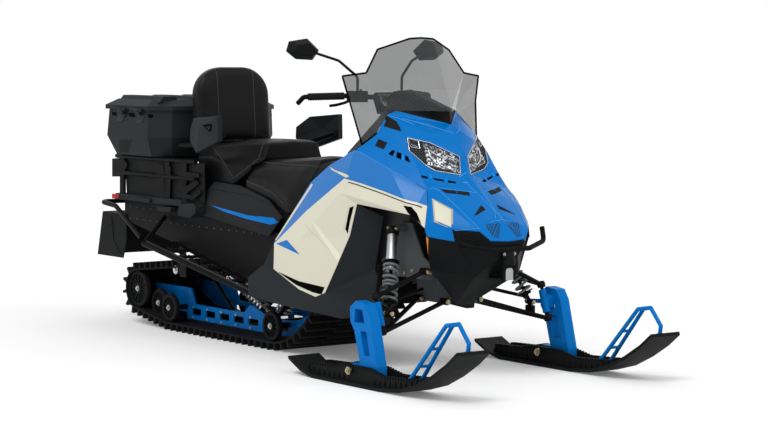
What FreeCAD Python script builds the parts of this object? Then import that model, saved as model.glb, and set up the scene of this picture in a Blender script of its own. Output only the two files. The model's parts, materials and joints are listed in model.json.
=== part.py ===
# Two-seat utility snowmobile, millimetres, +X forward, +Y left, +Z up.
# The origin is on the floor, under the middle of the machine's length and width.
import FreeCAD, Part
import math
import os
from FreeCAD import Vector

os.makedirs("parts", exist_ok=True)

ORIGIN = Vector(0, 0, 0)
ALONG = Vector(1, 0, 0)
ACROSS = Vector(0, 1, 0)
UP = Vector(0, 0, 1)

# Fits and clearances
overrun = 5.0            # how far a cutting tool passes a face
seat_gap = 0.3           # between faces of pieces on different bodies
pin_gap = 0.05           # radial, between a pin and its running bore
sheet = 3.0              # aluminium sheet of the tunnel
moulding = 5.0           # plastic panels
small_round = 2.0

# Places along the machine, from the fuel tank to the rear deck
tank_rear_x = 80.0
seat_ahead = 10.0        # between the rider's seat and the tank
rider_long = 442.0
rider_rear_x = tank_rear_x - seat_ahead - rider_long
seats_overlap = 72.0
passenger_long = 490.0
passenger_rear_x = rider_rear_x + seats_overlap - passenger_long
base_in = 24.0           # seat base, ahead of the passenger seat's rear edge
base_rear_x = passenger_rear_x + base_in
rest_behind = 48.0       # middle of the backrest, behind the passenger's seat
rest_x = passenger_rear_x - rest_behind
rest_ahead = 50.0        # ahead of the rack bar that bears it
rest_bar_x = rest_x - rest_ahead
rest_bar_gap = 62.0      # between that bar and the cargo box
box_long = 482.0
box_x1 = rest_bar_x - rest_bar_gap
box_x0 = box_x1 - box_long
box_in = 38.0            # box, ahead of the rear edge of the deck
deck_rear_x = box_x0 - box_in
deck_overhang = 30.0     # deck, behind the tunnel

# Track and its wheels
track_wide = 508.0
belt_thick = 8.0
lug_tall = 32.0
lug_long = 20.0
lug_tip_long = 12.0
lug_pitch = 54.0
track_lane = 170.0
rear_idler_r = 93.0
rear_idler_x = -1352.0
rear_idler_z = 181.0
idler_r = 71.0
idler_wide = 26.0
mid_idler_x = -1049.0
second_idler_x = -1200.0
front_idler_x = -138.0
bow_r = 425.0            # front curve of the slide rails
sprocket_r = 80.0
sprocket_x = 240.0
sprocket_z = 375.0
sprocket_wide = 60.0
axle_r = 12.0

# Slide rails
rail_y = 130.0
rail_thick = 10.0
rail_tall = 78.0
rail_window_tall = 32.0
rail_windows = 7
slider_tall = 12.0
slider_wide = 26.0
rail_rear_x = mid_idler_x
rail_bow_turn = 44.0     # degrees

# Tunnel and boards
tunnel_half = 266.0
tunnel_rear_x = deck_rear_x + deck_overhang
flap_reach = 275.0       # snow flap, behind the tunnel
tunnel_front_x = 400.0
tunnel_rear_z = 636.0
tunnel_kink_x = -681.0
tunnel_kink_z = 606.0
tunnel_nose_x = 262.0
tunnel_nose_z = 530.0
board_front_x = 30.0
board_front_z = 244.0
board_rear_x = -960.0
board_rear_z = 450.0
board_edge_y = 450.0
board_front_y = 350.0    # the boards narrow towards the cowl
board_thick = 5.0
board_slot_long = 62.0
board_slot_wide = 48.0
board_slots = 9
frame_tube_r = 12.0

# Cowl: lengths from the rear tips of its side panels and heights from the floor
cowl_long = 1000.0       # to the front of the shock wells
cowl_half = 350.0        # half width at the shoulders
cowl_tall = 1000.0       # floor to the shoulders

# Front suspension
ski_stance = 1040.0
ski_y = ski_stance / 2
kingpin_in = 62.0        # kingpin, inward of the middle of its ski
kingpin_y = ski_y - kingpin_in
kingpin_top_x = 985.0
kingpin_top_z = 352.0
kingpin_low_x = 1025.0
kingpin_low_z = 232.0
kingpin_r = 8.0
kingpin_eye_r = 17.0
kingpin_eye_tall = 26.0
kingpin_space = 12.0      # between the spindle's tube and each eye
arm_tube_r = 10.0
upper_front_x = 1015.0
upper_rear_x = 712.0
upper_pivot_z = 462.0
lower_pivot_y = 92.0
lower_front_x = 985.0
lower_rear_x = 800.0
lower_pivot_z = 322.0
shock_top_x = 845.0
shock_top_y = 268.0
shock_top_z = 636.0
shock_low_z = 290.0
shock_out_share = 0.82   # foot of the shock, along the lower wishbone
shock_body_r = 24.0
shock_rod_r = 8.0
shock_eye_r = 13.0
spring_r = 36.0
spring_wire_r = 5.0
spring_turns = 7

# Skis
ski_wide = 166.0
ski_front_long = 748.0   # from the bolt to the tip
ski_rear_long = 424.0
ski_tip_z = 205.0
ski_thick = 14.0
ski_bolt_x = 967.0
ski_bolt_z = 60.0
ski_bolt_r = 8.0
handle_tube_r = 9.0

# Steering
steer_rake_turn = 26.0   # degrees, top of the post to the rear
bar_x = 424.0
bar_z = 1190.0
bar_r = 11.0
grip_r = 16.0
bar_half = 366.0
post_r = 13.0
post_long = 360.0

# Seats
seat_half = 232.0

# Luggage
box_half = 372.0
box_foot_in = 44.0       # how far the box's foot is drawn in
box_z0 = 868.0
box_tall = 230.0
box_rim_z = box_z0 + box_tall
box_wall = 5.0
lid_tall = 52.0
lid_overhang = 10.0
hinge_r = 7.0
hinge_pin_r = 3.5


def facet(points):
    """One flat face through a closed ring of points."""
    return Part.Face(Part.makePolygon(list(points) + [points[0]]))


def closed(faces):
    """One solid from the faces that bound it."""
    skin = Part.makeCompound(faces)
    skin.sewShape()
    solid = Part.makeSolid(skin.Shells[0])
    if solid.Volume < 0:
        solid.reverse()
    return solid


def panel(points, facets, inward):
    """A thin moulding: flat facets outside, the same facets moved inward, and its rims."""
    faces = []
    rims = {}
    for names in facets:
        for first, second in zip(names, names[1:] + names[:1]):
            if (second, first) in rims:
                del rims[(second, first)]
            else:
                rims[(first, second)] = True
        corners = [points[name] for name in names]
        for index in range(1, len(corners) - 1):
            three = [corners[0], corners[index], corners[index + 1]]
            faces.append(facet(three))
            faces.append(facet([corner + inward for corner in reversed(three)]))
    for first, second in rims:
        low = points[first]
        high = points[second]
        faces.append(facet([low, low + inward, high + inward]))
        faces.append(facet([low, high + inward, high]))
    return closed(faces)


def hull_of_rings(rings):
    """A faceted body through rings of as many points each, closed by flat ends."""
    faces = []
    for near, far in zip(rings, rings[1:]):
        count = len(near)
        for index in range(count):
            after = (index + 1) % count
            faces.append(facet([near[index], near[after], far[index]]))
            faces.append(facet([near[after], far[after], far[index]]))
    for ring in (rings[0], rings[-1]):
        for index in range(1, len(ring) - 1):
            faces.append(facet([ring[0], ring[index], ring[index + 1]]))
    return closed(faces)


def block(low, high):
    """A box between two opposite corners."""
    size = high - low
    return Part.makeBox(size.x, size.y, size.z, low)


def side_prism(outline, y0, y1):
    """An outline of (x, z) pairs, drawn out from y0 to y1."""
    ring = [Vector(x, y0, z) for x, z in outline]
    return facet(ring).extrude(Vector(0, y1 - y0, 0))


def bar(start, end, radius):
    """A round bar between two points."""
    way = end - start
    return Part.makeCylinder(radius, way.Length, start, way)


def joined(shapes):
    """Several touching shapes made one."""
    first = shapes[0]
    return first.fuse(shapes[1:]).removeSplitter()


def bent_tube(points, radius, bend):
    """A round tube along straight runs joined by tangent arcs of one bend radius."""
    edges = []
    start = points[0]
    for before, corner, after in zip(points, points[1:], points[2:]):
        into = (corner - before).normalize()
        out = (after - corner).normalize()
        half_turn = into.getAngle(out) / 2
        trim = bend * math.tan(half_turn)
        first = corner - into * trim
        last = corner + out * trim
        to_centre = (out - into).normalize()
        centre = corner + to_centre * (bend / math.cos(half_turn))
        middle = centre - to_centre * bend
        edges.append(Part.LineSegment(start, first).toShape())
        edges.append(Part.Arc(first, middle, last).toShape())
        start = last
    edges.append(Part.LineSegment(start, points[-1]).toShape())
    ring = Part.Wire(Part.makeCircle(radius, points[0], points[1] - points[0]).Edges)
    return Part.Wire(edges).makePipeShell([ring], True, False)


def mirrored(shape):
    """The same piece on the machine's other side."""
    return shape.mirror(ORIGIN, ACROSS)


def flipped(point):
    """A point's place on the machine's other side."""
    return Vector(point.x, -point.y, point.z)


def save(name, shape):
    """Write one piece and say how large it is."""
    shape.exportStep("parts/%s.step" % name)
    print("%-20s volume %9.0f cm3, valid %s" % (name, shape.Volume / 1000, shape.isValid()))


def save_pair(name, left_shape):
    """Write a left piece and its mirror image."""
    save(name + "_left", left_shape)
    save(name + "_right", mirrored(left_shape))


def save_both(name, left_shape):
    """Write a left piece and its mirror image as the two solids of one piece."""
    save(name, Part.makeCompound([left_shape, mirrored(left_shape)]))


def cowl(along_share, across_share, up_share):
    """A point of the cowl."""
    return Vector(cowl_long * along_share, cowl_half * across_share, cowl_tall * up_share)


board_slope = (board_rear_z - board_front_z) / (board_front_x - board_rear_x)


def board_z(x):
    """Height of the running board's top at a place along it."""
    return board_front_z + (board_front_x - x) * board_slope


# Track loop
belt_z = lug_tall + belt_thick


def loop_circles(extra):
    """Centres and radii that the track bends round, in order from the rear of its flat."""
    return [
        (mid_idler_x, belt_z + idler_r, idler_r + extra),
        (front_idler_x, belt_z + bow_r, bow_r + extra),
        (sprocket_x, sprocket_z, sprocket_r + extra),
        (rear_idler_x, rear_idler_z, rear_idler_r + extra),
    ]


def loop_headings(circles):
    """The heading of each straight run, from its own circle to the next."""
    headings = []
    for near, far in zip(circles, circles[1:] + circles[:1]):
        gap_x = far[0] - near[0]
        gap_z = far[1] - near[1]
        reach = math.hypot(gap_x, gap_z)
        headings.append(math.atan2(gap_z, gap_x) - math.asin((far[2] - near[2]) / reach))
    return headings


def loop_wire(extra):
    """The closed line that runs round the wheels at a distance from their rims."""
    circles = loop_circles(extra)
    headings = loop_headings(circles)
    edges = []
    for index, (x, z, r) in enumerate(circles):
        heading_in = headings[index - 1]
        heading_out = headings[index]
        if heading_out < heading_in:
            heading_out += 2 * math.pi
        ends = [heading_in, (heading_in + heading_out) / 2, heading_out]
        points = [Vector(x + r * math.sin(a), 0, z - r * math.cos(a)) for a in ends]
        edges.append(Part.Arc(points[0], points[1], points[2]).toShape())
    runs = []
    for edge, after in zip(edges, edges[1:] + edges[:1]):
        runs.append(edge)
        runs.append(Part.LineSegment(edge.Vertexes[-1].Point, after.Vertexes[0].Point).toShape())
    return Part.Wire(runs)


def make_track():
    """The belt with its lugs: the side lanes bear one row, the middle lane the rows between."""
    outer = loop_wire(belt_thick)
    inner = loop_wire(0.0)
    ring = Part.Face(outer).cut(Part.Face(inner))
    belt = ring.extrude(Vector(0, track_wide, 0))
    belt.translate(Vector(0, -track_wide / 2, 0))
    rows = int(round(outer.Length / lug_pitch))
    step = outer.Length / rows
    feet = []
    for row in range(rows):
        for shift in (0.0, 0.5):
            feet.append((place_on(outer, step * (row + shift)), shift))
    lugs = []
    for (point, heading), shift in feet:
        if shift:
            lanes = [(-track_lane / 2, track_lane / 2)]
        else:
            lanes = [(-track_wide / 2, -track_lane / 2), (track_lane / 2, track_wide / 2)]
        for y0, y1 in lanes:
            lugs.append(make_lug(point, heading, y0, y1))
    return belt.fuse(lugs)


def place_on(wire, distance):
    """The point and heading at a distance along a closed line."""
    left = distance
    for edge in wire.OrderedEdges:
        if left <= edge.Length:
            spot = edge.getParameterByLength(left)
            if edge.Orientation == "Reversed":
                spot = edge.getParameterByLength(edge.Length - left)
            point = edge.valueAt(spot)
            way = edge.tangentAt(spot)
            if edge.Orientation == "Reversed":
                way = way * -1
            return point, way
        left -= edge.Length
    return wire.OrderedEdges[-1].valueAt(wire.OrderedEdges[-1].LastParameter), ALONG


def make_lug(point, heading, y0, y1):
    """One lug that stands out of the belt, wide at its root and narrow at its tip."""
    outward = heading.cross(ACROSS)
    if outward.dot(point - Vector(front_idler_x - bow_r, 0, rear_idler_z)) < 0:
        outward = outward * -1
    foot = point - outward * (belt_thick / 2)
    tip = point + outward * lug_tall
    ring = [
        foot - heading * (lug_long / 2),
        foot + heading * (lug_long / 2),
        tip + heading * (lug_tip_long / 2),
        tip - heading * (lug_tip_long / 2),
    ]
    ring = [Vector(corner.x, y0, corner.z) for corner in ring]
    return facet(ring).extrude(Vector(0, y1 - y0, 0))


def wheel(x, y, z, radius, wide):
    """A spoked idler wheel: its rim, hub and dished disc."""
    rim = Part.makeCylinder(radius, wide, Vector(x, y - wide / 2, z), ACROSS)
    dish_r = radius - wide / 2
    dish = wide / 4
    hub_r = axle_r * 2
    for side in (-1, 1):
        start = Vector(x, y + side * (wide / 2 - dish), z)
        hollow = Part.makeCylinder(dish_r, dish + overrun, start, ACROSS * side)
        rim = rim.cut(hollow.cut(Part.makeCylinder(hub_r, dish + overrun, start, ACROSS * side)))
    return rim


save("track", make_track())

# Idler wheels
outer_wheel_y = track_wide / 2 - idler_wide
rear_wheel_ys = [-outer_wheel_y, -rail_y / 2, rail_y / 2, outer_wheel_y]
wheels = [wheel(rear_idler_x, y, rear_idler_z, rear_idler_r, idler_wide) for y in rear_wheel_ys]
half_axle = outer_wheel_y + idler_wide
wheels.append(bar(Vector(rear_idler_x, -half_axle, rear_idler_z),
                  Vector(rear_idler_x, half_axle, rear_idler_z), axle_r))
save("rear_idlers", joined(wheels))

rear_rise = -math.tan(loop_headings(loop_circles(0.0))[-1])
lower_wheels = []
inner_wheel_y = outer_wheel_y - idler_wide - overrun
for x, wheel_y in ((second_idler_x, inner_wheel_y), (mid_idler_x, outer_wheel_y),
                   (front_idler_x, outer_wheel_y)):
    centre_z = belt_z + idler_r + max(0.0, mid_idler_x - x) * rear_rise
    for side in (-1, 1):
        rim = wheel(x, side * wheel_y, centre_z, idler_r - seat_gap, idler_wide)
        stud = bar(Vector(x, side * (rail_y + rail_thick / 2), centre_z),
                   Vector(x, side * (wheel_y + idler_wide / 2), centre_z), axle_r)
        lower_wheels.append(joined([rim, stud]))
save("lower_idlers", Part.makeCompound(lower_wheels))

# Drive shaft with its sprockets
shaft_half = tunnel_half - sheet
drive = [bar(Vector(sprocket_x, -shaft_half, sprocket_z), Vector(sprocket_x, shaft_half, sprocket_z),
             axle_r * 1.5)]
for side in (-1, 1):
    drive.append(wheel(sprocket_x, side * rail_y, sprocket_z, sprocket_r - seat_gap, sprocket_wide))
save("drive_shaft", joined(drive))


# Slide rails
def bow_point(turn, above):
    """A point on the rail's front curve, at a height above the belt's inner face."""
    radius = bow_r - above
    angle = math.radians(turn)
    return (front_idler_x + radius * math.sin(angle), belt_z + bow_r - radius * math.cos(angle))


def bow_outline(rear_x, low, high):
    """A strip along the flat and up the bow, between two heights above the belt."""
    turns = [0.0, rail_bow_turn / 3, rail_bow_turn * 2 / 3, rail_bow_turn]
    under = [(rear_x, belt_z + low)] + [bow_point(turn, low) for turn in turns]
    over = [bow_point(turn, high) for turn in reversed(turns)] + [(rear_x, belt_z + high)]
    return under + over


rail_foot = slider_tall
rail_top = slider_tall + rail_tall
rail = side_prism(bow_outline(rail_rear_x, rail_foot, rail_top),
                  rail_y - rail_thick / 2, rail_y + rail_thick / 2)
hump_shares = [(0.0, 0.0), (0.12, 0.55), (0.20, 0.55), (0.45, 0.10), (0.62, 0.0)]
hump_long = rail_tall * 5.5
hump_x = front_idler_x - rail_tall * 5
hump = [(hump_x + hump_long * along, belt_z + rail_top - small_round + rail_tall * up)
        for along, up in hump_shares]
tail_hump = [(rail_rear_x, belt_z + rail_top - small_round),
             (rail_rear_x, belt_z + rail_top + rail_tall),
             (rail_rear_x + rail_tall / 2, belt_z + rail_top + rail_tall),
             (rail_rear_x + rail_tall, belt_z + rail_top - small_round)]
rail = joined([rail,
               side_prism(hump, rail_y - rail_thick / 2, rail_y + rail_thick / 2),
               side_prism(tail_hump, rail_y - rail_thick / 2, rail_y + rail_thick / 2)])
window_long = rail_tall * 1.1
window_step = rail_tall * 1.65
window_start = rail_rear_x + rail_tall * 0.6
window_low = belt_z + rail_foot + (rail_tall - rail_window_tall) / 2
for number in range(rail_windows):
    window_x = window_start + window_step * number
    rail = rail.cut(block(Vector(window_x, rail_y - rail_thick, window_low),
                          Vector(window_x + window_long, rail_y + rail_thick,
                                 window_low + rail_window_tall)))
save_both("slide_rails", rail)

slider = side_prism(bow_outline(rail_rear_x, 0.0, slider_tall),
                    rail_y - slider_wide / 2, rail_y + slider_wide / 2)
save_both("sliders", slider)

# Rear axle arms, from the rails to the rear axle
arm_low = belt_z + rail_foot
arm_outline = [
    (rail_rear_x, arm_low + rail_tall * 0.35),
    (rail_rear_x, belt_z + rail_top + rail_tall),
    (rail_rear_x - rail_tall, belt_z + rail_top + rail_tall),
    (rear_idler_x, rear_idler_z + axle_r * 2.2),
    (rear_idler_x - axle_r * 2.2, rear_idler_z),
    (rear_idler_x, rear_idler_z - axle_r * 2.2),
    (second_idler_x, arm_low + rail_tall * 0.55),
]
arm = side_prism(arm_outline, rail_y - rail_thick / 2, rail_y + rail_thick / 2)
arm = arm.cut(bar(Vector(rear_idler_x, 0, rear_idler_z),
                  Vector(rear_idler_x, tunnel_half, rear_idler_z), axle_r + pin_gap))
save_both("axle_arms", arm)

# Suspension arms and shocks inside the track
pivot_in_y = rail_y - rail_thick / 2
front_arm_z = 385.0
rear_arm_z = 300.0
arm_foot_z = belt_z + rail_top - rail_tall / 3
cross_tie_z = belt_z + rail_top - arm_tube_r


def rail_place(along_share, z):
    """A point between the rails, from the middle idlers to the front idlers."""
    return Vector(mid_idler_x + (front_idler_x - mid_idler_x) * along_share, 0, z)


front_arm_top = rail_place(1.130, front_arm_z)
front_arm_foot = rail_place(0.822, arm_foot_z)
rear_arm_top = rail_place(0.185, rear_arm_z)
rear_arm_foot = rail_place(0.449, arm_foot_z)
front_tie = rail_place(0.668, cross_tie_z)
rear_tie = rail_place(0.603, cross_tie_z)


def swing_arm(top, foot, wall):
    """A two-legged arm between a cross tube in the tunnel and one between the rails."""
    leg_y = pivot_in_y - arm_tube_r * 2
    pieces = [
        bar(top + ACROSS * -wall, top + ACROSS * wall, arm_tube_r * 1.4),
        bar(foot + ACROSS * -pivot_in_y, foot + ACROSS * pivot_in_y, arm_tube_r * 1.4),
        bar(top + ACROSS * leg_y, foot + ACROSS * leg_y, arm_tube_r),
        bar(top + ACROSS * -leg_y, foot + ACROSS * -leg_y, arm_tube_r),
    ]
    return joined(pieces)


hanger_wide = 60.0
hanger_y = tunnel_half - sheet * 2
rear_arm = swing_arm(rear_arm_top, rear_arm_foot, hanger_y)
for side in (-1, 1):
    hanger = block(Vector(rear_arm_top.x - hanger_wide / 2, -sheet / 2, rear_arm_top.z - hanger_wide / 3),
                   Vector(rear_arm_top.x + hanger_wide / 2, sheet / 2,
                          board_z(rear_arm_top.x) + hanger_wide / 2))
    hanger.translate(ACROSS * (side * (tunnel_half - sheet * 1.5)))
    rear_arm = rear_arm.fuse(hanger)
save("swing_arms", Part.makeCompound([swing_arm(front_arm_top, front_arm_foot, tunnel_half - sheet),
                                      rear_arm]))


swing_tubes = Part.makeCompound([
    bar(top + ACROSS * -tunnel_half, top + ACROSS * tunnel_half, arm_tube_r * 1.4)
    for top in (front_arm_top, rear_arm_top)])


body_share = 0.49
spring_start_share = 0.40
spring_share = 0.47


def coil_over(top, low, body_r, coil_r, eye_r):
    """A shock with its spring drawn as a ribbed sleeve, and an eye at each end."""
    way = (low - top).normalize()
    reach = (low - top).Length
    body_long = reach * body_share
    spring_start = reach * spring_start_share
    spring_long = reach * spring_share
    pieces = [
        Part.makeCylinder(body_r, body_long, top + way * eye_r, way),
        Part.makeCylinder(shock_rod_r, reach - shock_rod_r, top + way * (shock_rod_r / 2), way),
        Part.makeCylinder(coil_r * 0.72, spring_long, top + way * spring_start, way),
    ]
    pitch = spring_long / spring_turns
    for turn in range(spring_turns + 1):
        pieces.append(Part.makeCylinder(coil_r, spring_wire_r * 2,
                                        top + way * (spring_start + pitch * turn), way))
    for centre in (top, low):
        pieces.append(Part.makeCylinder(eye_r, eye_r * 2, centre - ALONG * eye_r, ALONG))
    return pieces[0].fuse(pieces[1:])


def cross_shock(top, low, body_r, coil_r, eye_r):
    """A shock in the middle of the track with the cross tube between the rails that holds it."""
    tie = bar(low + ACROSS * -pivot_in_y, low + ACROSS * pivot_in_y, arm_tube_r)
    return joined([coil_over(top, low, body_r, coil_r, eye_r), tie])


track_shock_r = 22.0
track_spring_r = 32.0
track_eye_r = arm_tube_r * 1.2
save("track_shocks", Part.makeCompound([
    cross_shock(front_arm_top, front_tie, track_shock_r, track_spring_r, track_eye_r),
    cross_shock(rear_arm_top, rear_tie, track_shock_r, track_spring_r, track_eye_r),
]).cut(swing_tubes))

# Tunnel: an inverted channel over the track, sloping down to the front
tunnel_rear_foot = board_z(board_rear_x) + board_thick * 8
wall_outline = [
    (tunnel_rear_x, tunnel_rear_foot + board_thick * 8),
    (tunnel_rear_x, tunnel_rear_z),
    (tunnel_kink_x, tunnel_kink_z),
    (tunnel_nose_x, tunnel_nose_z),
    (tunnel_front_x, tunnel_nose_z - (tunnel_front_x - tunnel_nose_x)),
    (tunnel_front_x, board_front_z),
    (board_front_x, board_front_z - board_thick),
    (board_rear_x, board_rear_z - board_thick),
]
outside = side_prism(wall_outline, -tunnel_half, tunnel_half)
inside_outline = [
    (tunnel_rear_x - overrun, board_front_z - tunnel_half),
    (tunnel_rear_x - overrun, tunnel_rear_z - sheet),
    (tunnel_kink_x, tunnel_kink_z - sheet),
    (tunnel_nose_x - sheet, tunnel_nose_z - sheet),
    (tunnel_front_x - sheet, tunnel_nose_z - (tunnel_front_x - tunnel_nose_x) - sheet),
    (tunnel_front_x - sheet, board_front_z - tunnel_half),
]
inside = side_prism(inside_outline, -tunnel_half + sheet, tunnel_half - sheet)
save("tunnel", outside.cut(inside))

# Running boards: a slotted plate, its round outer edge and the stay at its rear
edge_y = board_edge_y - frame_tube_r
board_outline = [
    (board_rear_x, board_rear_z),
    (board_front_x, board_front_z),
    (board_front_x, board_front_z - board_thick),
    (board_rear_x, board_rear_z - board_thick),
]
plate = side_prism(board_outline, tunnel_half, edge_y)
past_front = board_front_x + overrun
past_y = board_front_y - (edge_y - board_front_y) * overrun / (board_front_x - board_rear_x)
plate = plate.cut(facet([
    Vector(board_rear_x, edge_y, 0), Vector(past_front, past_y, 0), Vector(past_front, board_edge_y, 0),
    Vector(board_rear_x, board_edge_y, 0)]).extrude(UP * board_rear_z * 2))
board_long = board_front_x - board_rear_x
slot_step = board_long / (board_slots + 1)
for number in range(board_slots):
    slot_x = board_rear_x + slot_step * (number + 1) - board_slot_long / 2
    inward = 1 - (board_edge_y - board_front_y) / board_edge_y * number / board_slots
    for slot_y in (tunnel_half + board_slot_wide * 0.3,
                   tunnel_half + board_slot_wide * 1.75 * inward ** 2):
        plate = plate.cut(block(
            Vector(slot_x, slot_y, board_front_z - board_thick * 4),
            Vector(slot_x + board_slot_long, slot_y + board_slot_wide, board_rear_z + overrun)))
rear_corner = Vector(board_rear_x, edge_y, board_rear_z - board_thick / 2)
front_corner = Vector(board_front_x, board_front_y, board_front_z - board_thick / 2)
stay_top = Vector(board_rear_x - board_slot_long, tunnel_half + frame_tube_r, tunnel_kink_z - sheet * 12)
board = joined([
    plate,
    bar(rear_corner, front_corner, frame_tube_r),
    Part.makeSphere(frame_tube_r, rear_corner),
    bar(rear_corner, stay_top, frame_tube_r * 0.9),
])
save_both("running_boards", board)

# Rear bumper: one bent tube from board to board round the back
bumper_reach = 60.0      # behind the tunnel
bumper_rear_x = tunnel_rear_x - bumper_reach
bumper_post_r = frame_tube_r * 0.8
bumper_z = tunnel_rear_z - sheet * 1.4 - bumper_post_r
bumper_half = 370.0
bumper_corner_long = 170.0
bumper_points = [
    Vector(board_rear_x - frame_tube_r * 2, edge_y - seat_gap, board_rear_z + frame_tube_r * 2),
    Vector(bumper_rear_x + bumper_corner_long, bumper_half + frame_tube_r, bumper_z - frame_tube_r),
    Vector(bumper_rear_x, bumper_half, bumper_z),
]
bumper_line = bumper_points + [flipped(point) for point in reversed(bumper_points)]
bumper = bent_tube(bumper_line, frame_tube_r, frame_tube_r * 4)
for side in (-1, 1):
    bumper = bumper.fuse(bar(Vector(tunnel_rear_x + frame_tube_r * 2, side * tunnel_half * 0.6, bumper_z),
                             Vector(bumper_rear_x, side * tunnel_half * 0.6, bumper_z),
                             bumper_post_r))
save("rear_bumper", bumper)

# Hitch: a flat tongue with an upright pin hole
hitch_long = 150.0
hitch_wide = 80.0
hitch_thick = 12.0
hitch_hole_r = 9.0
hitch_z = tunnel_rear_z - sheet - hitch_thick - frame_tube_r * 4
hitch_eye_x = tunnel_rear_x - hitch_long
tongue = joined([
    block(Vector(hitch_eye_x, -hitch_wide / 2, hitch_z),
          Vector(tunnel_rear_x + hitch_wide, hitch_wide / 2, hitch_z + hitch_thick)),
    Part.makeCylinder(hitch_wide / 2, hitch_thick, Vector(hitch_eye_x, 0, hitch_z), UP),
    block(Vector(tunnel_rear_x, -tunnel_half + sheet, hitch_z),
          Vector(tunnel_rear_x + hitch_wide, tunnel_half - sheet, hitch_z + hitch_thick)),
])
tongue = tongue.cut(Part.makeCylinder(hitch_hole_r, hitch_thick + overrun * 2,
                                      Vector(hitch_eye_x, 0, hitch_z - overrun), UP))
save("hitch", tongue)

# Snow flap: a curtain behind the track with a wing on each side
flap_thick = 5.0
flap_half = tunnel_half + flap_thick
flap_top_z = 560.0
flap_low_z = 331.0
flap_lean = 56.0
tail_x = tunnel_rear_x - flap_reach
flap_top_x = tail_x + flap_lean
flap_wing_x = tunnel_rear_x + frame_tube_r * 2
wing = side_prism([(tail_x, flap_low_z), (flap_top_x, flap_top_z), (flap_wing_x, flap_top_z),
                   (flap_wing_x, flap_low_z + flap_half / 3), (flap_wing_x - flap_half / 8, flap_low_z)],
                  flap_half - flap_thick, flap_half)
curtain = side_prism([(tail_x, flap_low_z), (flap_top_x, flap_top_z),
                      (flap_top_x + flap_thick, flap_top_z), (tail_x + flap_thick, flap_low_z)],
                     -flap_half, flap_half)
flap = joined([curtain, wing, mirrored(wing)])
save("snow_flap", flap)

# Rear deck: the shelf over the tunnel, with a lamp at each rear corner
rack_out = 68.0          # rack rails, outward of the seats
rack_half = seat_half + rack_out
deck_out = 22.0
deck_half = rack_half + deck_out
deck_gap = 4.0
deck_tall = 30.0
deck_front_x = base_rear_x - deck_gap - deck_tall
deck_z0 = tunnel_rear_z + seat_gap
lamp_long = 62.0
lamp_wide = 74.0
lamp_tall = 24.0
deck_ring = [
    (deck_rear_x, -deck_half * 0.9), (deck_rear_x + deck_tall, -deck_half),
    (deck_front_x, -deck_half), (deck_front_x + deck_tall, -deck_half * 0.9),
    (deck_front_x + deck_tall, deck_half * 0.9), (deck_front_x, deck_half),
    (deck_rear_x + deck_tall, deck_half), (deck_rear_x, deck_half * 0.9),
]
deck = facet([Vector(x, y, deck_z0) for x, y in deck_ring]).extrude(UP * deck_tall)
lamp_z = deck_z0 + (deck_tall - lamp_tall) / 2
lamps = []
for side in (-1, 1):
    low = Vector(deck_rear_x - overrun, min(side * deck_half, side * (deck_half - lamp_wide)), lamp_z)
    high = Vector(deck_rear_x + lamp_long, max(side * deck_half, side * (deck_half - lamp_wide)),
                  lamp_z + lamp_tall)
    corner = block(low, high)
    lamps.append(corner.common(deck))
    deck = deck.cut(corner)
save("rear_deck", deck)
save("tail_lamps", Part.makeCompound(lamps))

# Rack: side rails on legs, with cross bars under the box
rack_tube_r = 11.0
rack_behind = 10.0       # ahead of the rear edge of the deck
rack_ahead = 90.0        # rails, past the rear edge of the passenger's seat
rack_rear_x = deck_rear_x + rack_behind
rack_front_x = passenger_rear_x + rack_ahead
rack_rail_step = 84.0
rack_top_z = box_z0 - rack_tube_r - seat_gap
rack_mid_z = rack_top_z - rack_rail_step
rack_foot_z = deck_z0 + deck_tall
rack_leg_shares = (0.079, 0.658, 0.868)
leg_xs = [rack_rear_x + (rack_front_x - rack_rear_x) * share for share in rack_leg_shares]
rack_pieces = []
for side in (-1, 1):
    y = side * rack_half
    rack_pieces.append(bar(Vector(rack_rear_x, y, rack_top_z), Vector(rack_front_x, y, rack_top_z),
                           rack_tube_r))
    rack_pieces.append(bar(Vector(rack_rear_x, y, rack_mid_z), Vector(rack_front_x, y, rack_mid_z),
                           rack_tube_r))
    for x in leg_xs:
        rack_pieces.append(block(Vector(x - rack_tube_r * 2, y - rack_tube_r / 2, rack_foot_z),
                                 Vector(x + rack_tube_r * 2, y + rack_tube_r / 2, rack_top_z)))
box_bar_shares = (0.22, 0.80)
box_bar_xs = [box_x0 + box_long * share for share in box_bar_shares]
for x in [rack_rear_x, rest_bar_x] + box_bar_xs:
    rack_pieces.append(bar(Vector(x, -rack_half, rack_top_z), Vector(x, rack_half, rack_top_z),
                           rack_tube_r))
rack_pieces.append(bar(Vector(rack_rear_x, -rack_half, rack_mid_z),
                       Vector(rack_rear_x, rack_half, rack_mid_z), rack_tube_r))
save("cargo_rack", joined(rack_pieces))


# Cargo box: a tub with sloping sides, and its lid
corner_share = 0.18
bulge_share = 0.42


def tub_ring(x0, x1, half, z):
    """One level of the box, with its two front corners cut back."""
    cut_back = (x1 - x0) * corner_share
    return [Vector(x0, -half, z), Vector(x1 - cut_back, -half, z), Vector(x1, -half + cut_back, z),
            Vector(x1, half - cut_back, z), Vector(x1 - cut_back, half, z), Vector(x0, half, z)]


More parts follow.
